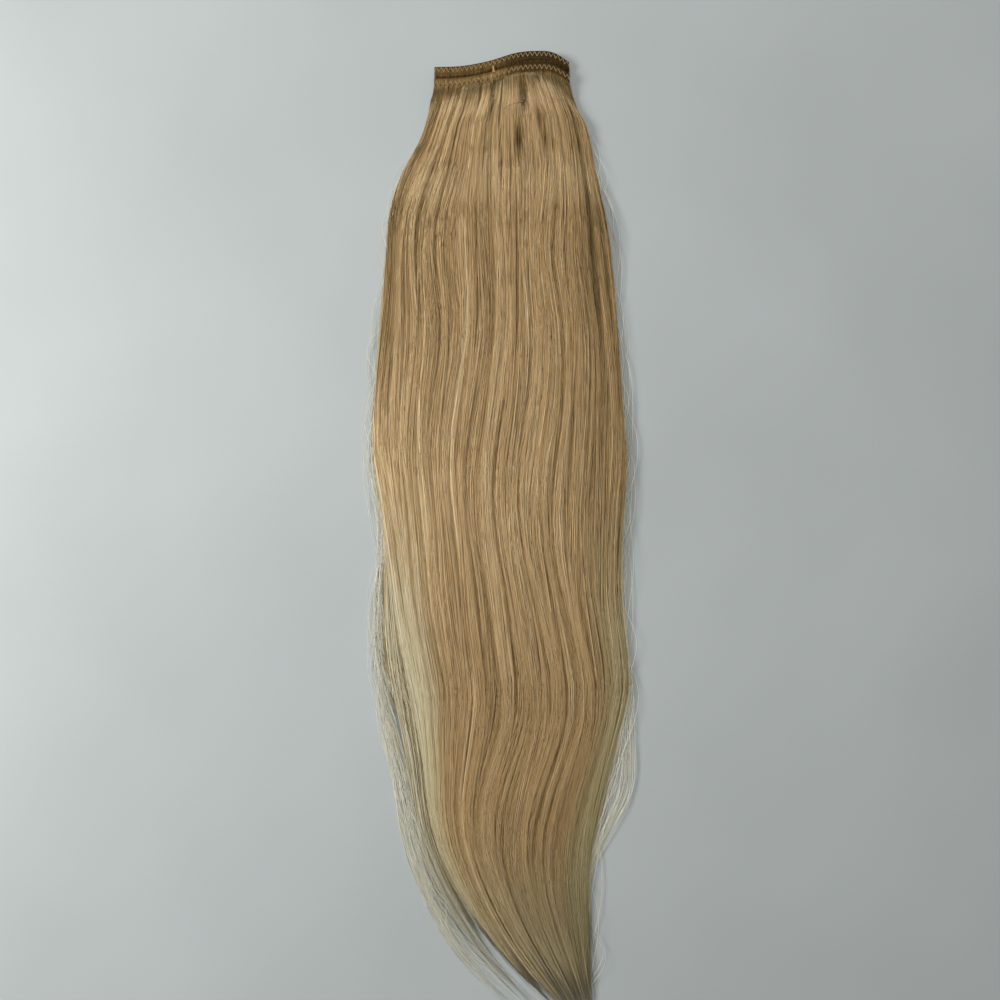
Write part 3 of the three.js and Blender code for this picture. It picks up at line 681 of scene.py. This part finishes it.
def layer_body(name, locks, start, across_of, top_of, under_of, parting_shade_of, material):
    share = np.linspace(0.0, 1.0, BODY_COLUMNS)[:, None]
    t = np.linspace(0.0, 1.0, BODY_ROWS)[None]
    end = HAIR_FALL * (0.96 * reach_at(locks, share) - 0.07 * rng.uniform(0, 1, share.shape))
    distance = start + (end - start) * t ** 1.3
    across = across_of(share, distance)
    x, y = plan(across, distance)
    low = under_of(across, distance)
    high = top_of(across, distance)
    sink = np.minimum(BODY_SINK, 0.7 * (high - low))
    top = np.stack([x, y, high - sink], -1)
    under = np.stack([x, y, low + 0.15 * (high - low)], -1)
    body = closed_sheet(name, top, under, {"deep": parting_shade_of(across, distance)})
    body.data.materials.append(material)
    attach(body, "root")
    return body


def front_across(share, distance):
    drawn_in = 0.02 * smoothstep(distance, FRONT_EXIT, ROOT_BLEND)
    return mix(drawn_in, 1 - drawn_in, share)


def rear_across(share, distance):
    reach = rear_reach(distance) - REAR_INSET * (1 - smoothstep(distance, REAR_EXIT, ROOT_BLEND))
    kept = mix(0.8, 0.3, smoothstep(distance, 0.5 * HAIR_FALL, 0.7 * HAIR_FALL))
    return mix(-kept * reach, 1 + kept * reach, share)


# How dark the mass's painted shade is in the deep partings
def front_parting_shade(across, distance):
    return np.clip(deep_part(across, distance) / DEEPEST_PART, 0, 0.8)


def no_parting_shade(across, distance):
    return np.zeros_like(across)


front_body = layer_body("front_hair_body", front_locks, FRONT_START, front_across, front_surface, front_under,
                        front_parting_shade, front_mass)
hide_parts("front_hair")
rear_body = layer_body("rear_hair_body", rear_locks, REAR_START, rear_across, rear_top, rear_under,
                       no_parting_shade, rear_mass)
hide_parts("rear_hair")
print("bodies:", len(front_body.data.polygons) + len(rear_body.data.polygons), "faces")

# %% [markdown]
# ## Laying the strands
# Combed hair holds together in narrow locks. Each lock sways a little on its own way down and rides over or under
# its neighbours, and within it the strands lie on a low round back. So a strand's place is the sum of its lock's
# middle, its own place in the lock, the lock's sway and a wobble of its own. Towards the tips the lock gathers
# sideways and settles flat.
# A few strands in a hundred wander further, and those are what make hair look soft rather than carved.

# %% Laying strands
STEPS = 30  # points along a strand
STRAND_RADIUS = 0.2 * MM
# How far down its strand each point lies. They are close at the root, where the hair bends out of the band, and
# closer again in the lower half, where the S is tightest.
spacing = table("point share", [
    [0, 0], [0.0345, 0.0055], [0.069, 0.0125], [0.103, 0.0215], [0.138, 0.036], [0.207, 0.078], [0.3, 0.155],
    [0.4, 0.262], [0.59, 0.54], [0.655, 0.635], [1, 1],
])


def waves(count, lengths, amplitude):
    """A sum of sine waves for each of count rows, as a function of distance."""
    phases = rng.uniform(0, 2 * np.pi, (count, len(lengths)))
    sizes = amplitude * rng.uniform(0.4, 1.0, (count, len(lengths)))
    periods = np.array(lengths) * rng.uniform(0.8, 1.25, (count, len(lengths)))
    return lambda rows, distance: sum(
        sizes[rows, k][:, None] * np.sin(2 * np.pi * distance / periods[rows, k][:, None] + phases[rows, k][:, None])
        for k in range(len(lengths)))


def lay_strands(count, locks, start, exit_at, sway, ride):
    """Where count strands run: their lock, their share of the layer's width, and the distances of their points."""
    lock = rng.choice(len(locks["centre"]), count, p=locks["crowd"] / locks["crowd"].sum())
    place = rng.uniform(-1, 1, count)
    t = np.linspace(0, 1, STEPS)[None]
    shorter = rng.beta(1.2, 6.0, count) * 0.16 * rng.choice([0.4, 1.0, 2.2], count, p=[0.6, 0.32, 0.08])
    end = HAIR_FALL * (locks["reach"][lock] - 0.02 * place ** 2 - shorter)[:, None]
    t = t + rng.uniform(-0.4, 0.4, (count, 1)) / STEPS * np.sin(np.pi * t)
    distance = start + (end - start) * smooth(spacing, "point", t, "share")
    gather = 1 - 0.4 * smoothstep(distance, 0.72 * HAIR_FALL, HAIR_FALL)
    settled = smoothstep(distance, 0.5 * HAIR_FALL, 0.8 * HAIR_FALL)
    loose = smoothstep(distance, exit_at, exit_at + 60 * MM)
    wander = rng.choice([1.0, 2.5, 6.0], count, p=[0.78, 0.18, 0.04])[:, None]
    wobble = waves(count, [0.09, 0.2], 0.0016)(np.arange(count), distance) * wander
    share = (locks["centre"][lock][:, None] + 0.85 * locks["width"][lock][:, None] * place[:, None] * gather
             + sway(lock, distance) * loose + wobble * loose)
    back_height = (0.34 * MM + 0.2 * MM * np.sin(lock * 2.4)[:, None]) * (1 - place[:, None] ** 2)
    height = (back_height + ride(lock, distance)) * mix(1.0, 0.3, settled)
    height = height * smoothstep(distance, exit_at + 2 * MM, exit_at + 16 * MM)
    return lock, place, share, distance, height


def strand_radii(count, radius):
    t = np.linspace(0, 1, STEPS)[None]
    own = rng.uniform(0.75, 1.2, (count, 1))
    return radius * own * (1 - 0.72 * smoothstep(t, 0.75, 1.0))


# %% [markdown]
# ## Front layer
# The front layer is the honey one. Its locks are about 3 mm wide, as a comb leaves them. The hair is darker where
# it leaves the band, partly its own darker roots and partly painted shade under the band, and turns pale at its thin
# left side from the middle down, a little on the right, and at the tips. Painted shade also darkens its partings,
# its right edge and its lower half.

# %% Front strands
FRONT_LOCKS = 52
front_fine = lock_table(front_locks, FRONT_LOCKS, 0.5)
front_sway = waves(FRONT_LOCKS, [0.16, 0.33], 0.009)
front_ride = waves(FRONT_LOCKS, [0.12, 0.26], 0.24 * MM)
front_tone = rng.normal(0, 0.06, FRONT_LOCKS)
FRONT_STRANDS, FRONT_PIECES = 1050, 3
PLEATS, PLEAT_HEIGHT = 13, 0.3 * MM  # 6.6 mm apart along the band


def pleats(across, distance):
    """The stitches gather the hair in pleats, which open out over the first few centimetres."""
    strength = smoothstep(distance, FRONT_EXIT, 10 * MM) * (1 - smoothstep(distance, 25 * MM, 90 * MM))
    return PLEAT_HEIGHT * strength * np.sin(2 * np.pi * PLEATS * across + 2.2 * np.sin(9 * across))


def front_paleness(across, down, count):
    left = 1.1 * smoothstep(0.27 - across, 0, 0.27) * smoothstep(down, 0.4, 0.7)
    left = left * (1 - 0.45 * smoothstep(down, 0.72, 0.88))
    right = smoothstep(across, 0.84, 1.0) * smoothstep(down, 0.42, 0.7)
    tips = 0.8 * smoothstep(down, 0.76, 1.0)
    return np.clip(0.1 + left + 0.9 * right + tips + rng.normal(0, 0.1, (count, 1)), 0, 1)


def front_strands(name):
    count = FRONT_STRANDS
    lock, place, share, distance, height = lay_strands(
        count, front_fine, FRONT_START, FRONT_EXIT, front_sway, front_ride)
    outside = mix(-0.01, 0.012, smoothstep(distance, FRONT_EXIT, 12 * MM))
    across = mix(-outside, 1 + outside, share)
    push, sink = part_hair(across, distance)
    across = across + push
    deep = (rng.uniform(0, 1, count) ** 1.6)[:, None] * 1.3 * MM
    opened = smoothstep(distance, FRONT_EXIT - 1 * MM, FRONT_EXIT + 1.5 * MM)
    low, high = front_under(across, distance), front_top(across, distance)
    raised = height + pleats(across, distance) + bend(across, distance)
    z = mix(low + 0.5 * ROOT_SHEET, high + raised - sink - deep, opened)
    z = np.maximum(z, low + STRAND_RADIUS)
    settle = smoothstep(distance, 0.95 * HAIR_FALL, HAIR_FALL)
    z = mix(z, STRAND_RADIUS + 0.4 * (z - STRAND_RADIUS), settle)
    x, y = plan(across, distance)
    down = distance / HAIR_FALL
    # Darker near the band: partly the roots' own darker colour, partly painted shade under the band
    root = 1 - smoothstep(distance, 4 * MM, 16 * MM)
    own_tone = rng.normal(0, 0.15, (count, 1)) * mix(1.0, 0.55, smoothstep(down, 0.55, 0.8))
    # Lighter bleach in the upper middle and at the tips; the darkening over the lower half is painted shade
    bleach_and_painted_shade = (0.07 * smoothstep(down, 0.22, 0.35) - 0.12 * smoothstep(down, 0.52, 0.8)
                + 0.35 * smoothstep(down, 0.92, 1.0))
    # Strands sunk in a parting are painted darker: painted shade in the furrow
    tone = 0.51 + bleach_and_painted_shade + front_tone[lock][:, None] + own_tone - 0.52 * root - 200 * sink
    left_side = (1 - smoothstep(across, 0.0, 0.1)) * mix(-0.22, 0.12, smoothstep(down, 0.27, 0.42))
    # The right edge is painted darker: painted shade between its strands, on the side away from the key light
    tone = np.clip(tone + left_side - 0.3 * smoothstep(across, 0.74, 1.0), 0, 1)
    piece = tubes(name, np.stack([x, y, z], -1), strand_radii(count, STRAND_RADIUS),
                  {"tone": tone, "pale": front_paleness(across, down, count)})
    piece.data.materials.append(front_fibre)
    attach(piece, "root")
    return piece


front_pieces = [front_strands(f"front_strands_{n + 1}") for n in range(FRONT_PIECES)]
print("front strands:", FRONT_STRANDS * FRONT_PIECES, "triangles each piece:", FRONT_STRANDS * ((STEPS - 1) * 6 + 2))

# %% [markdown]
# ## Rear layer
# The rear layer is paler. From above it shows only past the front layer's sides, but it is the whole underside, so
# a third of its strands lie along its lower face. From two thirds of the way down the main hair gathers under the
# front layer, and only separate thin locks stay outside, with the floor showing between them.

# %% Rear strands
THIN_WIDTH = 0.0035  # half a millimetre, as a share of the layer's width
rear_fine = lock_table(rear_locks, 30, 0.5)
rear_fine = join_tables(rear_fine, thin_locks(0.0, 0.14, 15, THIN_WIDTH, 0.13))
rear_fine = join_tables(rear_fine, thin_locks(0.87, 1.0, 9, THIN_WIDTH, 0.07))
REAR_LOCKS = len(rear_fine["centre"])
rear_sway = waves(REAR_LOCKS, [0.18, 0.36], 0.01)
rear_ride = waves(REAR_LOCKS, [0.14, 0.3], 0.2 * MM)
rear_tone = rng.normal(0, 0.07, REAR_LOCKS)
REAR_STRANDS = 1050


def rear_strands(name, count):
    lock, place, share, distance, height = lay_strands(
        count, rear_fine, REAR_START, REAR_EXIT, rear_sway, rear_ride)
    reach = rear_reach(distance) - REAR_INSET * (1 - smoothstep(distance, REAR_EXIT, ROOT_BLEND))
    gathered = mix(1.0, 0.35, smoothstep(distance, 0.6 * HAIR_FALL, 0.74 * HAIR_FALL))
    reach = reach * mix(gathered, 1.0, rear_fine["thin"][lock][:, None])
    across = mix(-reach, 1 + reach, share)
    low, high = rear_under(across, distance), rear_top(across, distance)
    on_top = rng.choice([1.0, 0.0], count, p=[0.66, 0.34])[:, None]
    opened = smoothstep(distance, REAR_EXIT, REAR_EXIT + BAND_SLOPE)
    deep = (rng.uniform(0, 1, count) ** 1.5)[:, None] * 0.5 * (high - low)
    upper = high - deep + 0.3 * height
    lower = low + STRAND_RADIUS + 0.25 * (high - low) * (deep / np.maximum(high - low, 1e-6))
    z = mix(low + 0.5 * ROOT_SHEET, mix(lower, upper, on_top), opened)
    z = np.clip(z, low + STRAND_RADIUS, high + 0.25 * MM)
    x, y = plan(across, distance)
    down = distance / HAIR_FALL
    # Darker and less pale near the band: partly the roots' own colour, partly painted shade under the bands
    root = 1 - smoothstep(distance, REAR_EXIT, 20 * MM)
    thin = 0.25 * rear_fine["thin"][lock][:, None]
    tone = np.clip(0.55 + thin + rear_tone[lock][:, None] + rng.normal(0, 0.13, (count, 1)) - 0.4 * root, 0, 1)
    pale = 0.3 + thin + 0.7 * smoothstep(down, 0.4, 0.68) - 0.3 * root + rng.normal(0, 0.1, (count, 1))
    piece = tubes(name, np.stack([x, y, z], -1), strand_radii(count, STRAND_RADIUS),
                  {"tone": tone, "pale": np.clip(pale, 0, 1)})
    piece.data.materials.append(rear_fibre)
    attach(piece, "root")
    return piece


rear_piece = rear_strands("rear_strands", REAR_STRANDS)
print("rear strands:", REAR_STRANDS)

# %% [markdown]
# ## Loose strands
# Some hair always escapes. On the left a thin wisp leaves the layer half-way down and follows it outside to the
# tips, on the right a shorter one leaves and returns, and single hairs stand off all along both sides, most of them
# in the middle of the left one. The table gives how far out a wisp's middle lies, as a share of the layer's width.
# These strands are single hairs, so they are thinner, and pale because light comes through them.

# %% Wisps and flyaway hairs
LOOSE_RADIUS = 0.12 * MM
WISP_LIMIT, FLYAWAY_LIMIT = 0.085, 0.08  # how far out a hair may go, as a share of the width
wisp_lines = {
    "left": table("down out", [[0.56, -0.1], [0.63, -0.05], [0.68, 0.0], [0.72, 0.014], [0.78, 0.02],
                               [0.84, 0.026], [0.89, 0.044], [0.93, 0.058], [0.98, 0.05]]),
    "right": table("down out", [[0.58, -0.1], [0.64, -0.04], [0.69, 0.016], [0.73, 0.05], [0.765, 0.066],
                                [0.8, 0.035], [0.85, -0.02], [0.9, -0.05]]),
}


def outside_place(side, out, down):
    """A place beside the rear layer: out is its distance from the layer's edge as a share of the width."""
    distance = down * HAIR_FALL
    reach = rear_reach(distance)
    edge = -reach if side == "left" else 1 + reach
    x, y = plan(edge, distance)
    return x + (-1 if side == "left" else 1) * out * HAIR_SPAN, y


def wisp_paths(side, count):
    line = wisp_lines[side]
    t = np.linspace(0, 1, STEPS)[None]
    first = rng.uniform(line["down"][0], line["down"][0] + 0.08, (count, 1))
    last = line["down"][-1] - rng.beta(1, 4, (count, 1)) * 0.2
    down = mix(first, last, t)
    spread = rng.normal(0, 0.012, (count, 1)) + waves(count, [0.1, 0.22], 0.004)(np.arange(count), down * HAIR_FALL)
    out = smooth(line, "down", down, "out") * rng.uniform(0.55, 1.1, (count, 1)) + spread
    x, y = outside_place(side, np.minimum(out, WISP_LIMIT), down)
    z = 0.3 * MM + rng.uniform(0, 1.4, (count, 1)) * MM * np.sin(np.pi * t)
    return np.stack([x, y, np.broadcast_to(z, x.shape)], -1)


def flyaway_paths(side, count, highest, lowest, furthest):
    """Single hairs that start between two shares of the fall and stand off as far as a share of the width."""
    t = np.linspace(0, 1, STEPS)[None]
    first = rng.uniform(highest, lowest, (count, 1))
    down = first + t * np.minimum(rng.uniform(0.08, 0.3, (count, 1)), 0.975 - first)
    out = -0.03 + rng.uniform(0.02, furthest, (count, 1)) * np.sin(np.pi * np.clip(t * 1.15, 0, 1)) ** 1.5
    out = out + waves(count, [0.05, 0.12], 0.0035)(np.arange(count), down * HAIR_FALL)
    x, y = outside_place(side, np.minimum(out, FLYAWAY_LIMIT), down)
    z = 0.3 * MM + rng.uniform(0.5, 3.0, (count, 1)) * MM * np.sin(np.pi * t)
    return np.stack([x, y, np.broadcast_to(z, x.shape)], -1)


def stray_hair():
    """The one dark hair that curls over the top of the layer."""
    t = np.linspace(0, 1, STEPS)
    across, distance = mix(0.53, 0.66, t), (26 - 1.5 * t - np.sin(np.pi * t)) * MM
    x, y = plan(across, distance)
    z = front_top(across, distance) + (3.0 + 1.2 * np.sin(np.pi * t)) * MM
    return np.stack([x, y, z], -1)[None]


loose_paths = np.concatenate([
    wisp_paths("left", 90), wisp_paths("right", 36), flyaway_paths("left", 60, 0.03, 0.9, 0.075),
    flyaway_paths("left", 120, 0.3, 0.62, 0.05), flyaway_paths("right", 60, 0.03, 0.9, 0.075), stray_hair(),
])
loose_count = len(loose_paths)
loose_tone = np.concatenate([rng.uniform(0.5, 1.0, (loose_count - 1, 1)), [[0.0]]])
loose_pale = np.concatenate([rng.uniform(0.75, 1.0, (loose_count - 1, 1)), [[0.0]]])
loose_piece = tubes("loose_strands", loose_paths, strand_radii(loose_count, LOOSE_RADIUS),
                    {"tone": loose_tone, "pale": loose_pale})
loose_piece.data.materials.append(loose_fibre)
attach(loose_piece, "root")
print("loose strands:", loose_count)

# %% [markdown]
# ## Weft bands
# A wefting machine folds the roots over and sews through them, so a band is mostly hair: short root fibres, darker
# than the lengths because they keep their wax and glue, run up from the hair over its top, round the fold and back
# beneath. The solid stays as the tape inside, in a matte brown with the bumps of the fibres under it. Each fibre
# follows the band's section, and fibres differ in how far they stand out at the fold, which makes that edge fuzzy.

# %% Band tape and root fibres
# Ribs across the band 0.4 mm apart, the spacing of the root fibres
tape = mottled("weft_tape_brown", {"Roughness": 0.7, "Specular IOR Level": 0.3}, 1.0,
               [(0.3, "#221403"), (0.7, "#48300c")], stretch=(2500, 150, 150), relief=(0.6, 0.2 * MM))
for node in ("front_band", "rear_band"):
    bpy.data.objects[node].data.materials.clear()
    bpy.data.objects[node].data.materials.append(tape)

root_stops = [(0.0, "#241402"), (0.35, "#523810"), (0.7, "#86683a"), (1.0, "#b89a68")]
root_fibre = hair_fibre("waxed_root_hair", root_stops, root_stops, 0.5, shine=0.3)
band_section = table("side up", [
    [-5.5, 1.0], [-4.0, 2.0], [-2.8, 3.0], [0.5, 3.34], [1.8, 3.2], [2.55, 2.6], [2.72, 1.6],
    [2.55, 0.6], [1.8, 0.05], [-2.6, -0.02],
])


ROOT_FIBRES = 760  # on each band
FIBRE_RADIUS, BURIED_RADIUS = 0.15 * MM, 0.05 * MM  # on the band, and at the end that dives into the hair
HIGHEST_FIBRE = 3.45  # mm over the band's base, just under the thread


def rear_band_base(across):
    return REAR_BAND_BASE * smooth(weft_line, "along", across, "lift")


bands = {"front": (front_band_base, 0.0), "rear": (rear_band_base, WEFT_STEP)}


def on_band(band, across, side, up):
    """A point on a band: side is its distance from the band's middle line, up its height over the band's base."""
    base, step = bands[band]
    x = WEFT_X + (across - 0.5) * WEFT_SPAN
    y = WEFT_Y + weft_rise(across) + step + side
    return np.stack([x, y, base(across) + up], -1)


def root_fibres(band, count, tones):
    across = (np.arange(count) + rng.uniform(0, 1, count)) / count
    section_steps = len(band_section["side"])
    slant = rng.normal(0, 0.5 * MM / WEFT_SPAN, (count, 1)) * np.linspace(-1, 1, section_steps)
    across = np.clip(across[:, None] + slant, 0.001, 0.999)
    fuzz = 1 + 0.09 * rng.beta(1.2, 3, (count, 1)) * (band_section["side"] > 2)
    in_hair = band_section["side"] < -5
    diving = band_section["side"] < -3.5
    further = rng.uniform(-2.2, 1.4, (count, 1)) * in_hair
    side = band_section["side"] * fuzz + further
    up = band_section["up"] + 0.25 * further + rng.uniform(-0.06, 0.1, (count, 1))
    up = up + rng.uniform(-0.8, 0.45, (count, 1)) * diving
    paths = on_band(band, across, side * MM, np.minimum(up, HIGHEST_FIBRE) * MM)
    # Painted light on the left of each band's top and painted shade on its right
    painted_light_and_shade = mix(-0.2, 0.3, smoothstep(across, 0.42, 0.7)) * (band_section["side"] > -4)
    tone = np.clip(np.array(tones) + rng.normal(0, 0.12, (count, 1)) - painted_light_and_shade, 0, 1)
    radii = np.broadcast_to(np.where(in_hair, BURIED_RADIUS, FIBRE_RADIUS), side.shape)
    piece = tubes(f"{band}_band_fibres", paths, radii, {"tone": tone, "pale": 0.0 * tone})
    piece.data.materials.append(root_fibre)
    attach(piece, "root")
    return piece


root_fibres("front", ROOT_FIBRES, [0.95, 0.85, 0.62, 0.5, 0.35, 0.12, 0.1, 0.15, 0.35, 0.6])
# The rear band's tones are lower than the front's: painted shade
root_fibres("rear", ROOT_FIBRES, [0.45, 0.5, 0.42, 0.3, 0.15, 0.08, 0.05, 0.15, 0.3, 0.6])
print("root fibres:", ROOT_FIBRES, "on each band")

# %% [markdown]
# ## Sewing thread
# The machine's zigzag is a polyester thread in pale gold. It has a stitch every 3 mm, a round arch on the side of
# the fold and a point on the side of the hair, and it goes down into a needle hole at every turn. A second row lies
# underneath. A few hand stitches tie the two wefts together left of the middle, and others hold the clips to the
# rear band.

# %% Zigzag stitches and ties
STITCH, ROW_WIDTH = 3 * MM, 3 * MM
THREAD_RADIUS, TIE_RADIUS, CLIP_THREAD_RADIUS = 0.17 * MM, 0.26 * MM, 0.2 * MM
STITCH_POINTS = 12  # along each stitch


# Plies 0.7 mm apart: the real twist is finer, and is drawn coarser so that it shows
thread = mottled("polyester_thread_gold", {"Roughness": 0.5, "Specular IOR Level": 0.4}, 1400.0,
                 [(0.3, "#8c6d3a"), (0.7, "#c2a873")], detail=1.0)


def zigzag(band, side_left, side_right, height):
    """A row of stitches whose middle lies at side_left at the left end of the band and at side_right at the right."""
    pitches = round(WEFT_SPAN / STITCH)
    phase = np.linspace(0.05, pitches - 0.05, pitches * STITCH_POINTS)
    across = phase / pitches
    arch = 0.5 * np.abs(np.sin(np.pi * phase)) + 0.5 * (1 - np.abs(2 * (phase % 1) - 1))
    side = mix(side_left, side_right, smoothstep(across, 0.3, 0.7)) + ROW_WIDTH * (arch - 0.5)
    up = height + 0.16 * MM * np.sign(height) * np.abs(np.sin(2 * np.pi * phase))
    return on_band(band, across, side, up)


def thread_piece(name, paths, radius):
    for_each = np.full(paths.shape[:2], radius)
    piece = tubes(name, paths, for_each, sides=6)
    piece.data.materials.append(thread)
    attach(piece, "root")
    return piece


TOP, BOTTOM = 3.5 * MM, -0.02 * MM
rows = np.stack([
    zigzag("front", -1.7 * MM, -1.0 * MM, TOP), zigzag("rear", 0.0 * MM, 0.0 * MM, TOP),
    zigzag("front", -1.2 * MM, -1.2 * MM, BOTTOM), zigzag("rear", -0.4 * MM, -0.4 * MM, BOTTOM),
])
thread_piece("zigzag_stitches", rows, THREAD_RADIUS)


def stitch_over(start, end, rise):
    """One hand stitch: a low arch of thread between two points."""
    t = np.linspace(0, 1, STITCH_POINTS)[:, None]
    return mix(np.array(start), np.array(end), t) + [0, 0, 1] * (rise * np.sin(np.pi * t))


def tie_stitches():
    stitches = []
    for first, last in [(0.428, 0.44), (0.433, 0.446), (0.441, 0.43)]:
        start = on_band("rear", np.float64(first), -1.8 * MM, 3.4 * MM)
        end = on_band("front", np.float64(last), 1.4 * MM, 3.4 * MM)
        stitches.append(stitch_over(start, end, 0.4 * MM))
    for first, last, low in [(0.418, 0.42, -4.0), (0.424, 0.428, -5.2)]:
        start = on_band("front", np.float64(first), 0.2 * MM, 3.4 * MM)
        end = on_band("front", np.float64(last), low * MM, 2.3 * MM)
        stitches.append(stitch_over(start, end, 0.7 * MM))
    return np.stack(stitches)


thread_piece("tie_stitches", tie_stitches(), TIE_RADIUS)

# %% [markdown]
# ## Comb clips
# The clips are stamped spring steel with a satin brown enamel, baked on so that it doesn't flash in the hair. The
# enamel pulls back a little from the tooth edges, which shows as small changes in gloss and tone. Each clip is sewn
# through the three holes of its rail to the rear band above it.

# %% Clip enamel and clip stitches
# Orange peel about 1.5 mm across, as baked enamel has
enamel = mottled("baked_enamel_brown", {"Metallic": 0.0, "Roughness": 0.38, "Specular IOR Level": 0.5}, 650.0,
                 [(0.3, "#3a2a1a"), (0.7, "#4d3a26")], relief=(0.25, 0.1 * MM))
HOLE_OFFSET, HOLE_LEVEL = 12.4 * MM, 4.4 * MM  # along the rail and across it, from the clip's middle
CLIP_TURNS = {"left_clip": 7.9, "right_clip": 4.55}  # degrees, as the weft's line runs above each clip
clip_stitches = []
for node, turn in CLIP_TURNS.items():
    bpy.data.objects[node].data.materials.clear()
    bpy.data.objects[node].data.materials.append(enamel)
    low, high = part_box(node)
    centre = (np.array(low) + np.array(high)) / 2
    turn = math.radians(turn)
    for hole in (-HOLE_OFFSET, 0.0, HOLE_OFFSET):
        x = centre[0] + hole * math.cos(turn) - HOLE_LEVEL * math.sin(turn)
        y = centre[1] + hole * math.sin(turn) + HOLE_LEVEL * math.cos(turn)
        for lean in (-0.35 * MM, 0.35 * MM):
            start, end = (x + lean, y, 0.4 * MM), (x + 2 * lean, y + 0.5 * MM, 3.6 * MM)
            clip_stitches.append(stitch_over(start, end, 0.0))
thread_piece("clip_stitches", np.stack(clip_stitches), CLIP_THREAD_RADIUS)
print("clip stitches:", len(clip_stitches))

# %% [markdown]
# ## Floor
# A plain pale surface, with the faintest mottling so that it isn't a dead flat colour.

# %% Floor
pale_paint = mottled("floor_paint_pale", {"Roughness": 0.75, "Specular IOR Level": 0.3}, 6.0,
                     [(0.3, "#a9aeac"), (0.7, "#b0b5b3")])
bpy.ops.mesh.primitive_plane_add(size=6, location=(0, 0, -0.0001))
floor = bpy.context.object
floor.name = "floor"
floor.data.materials.append(pale_paint)
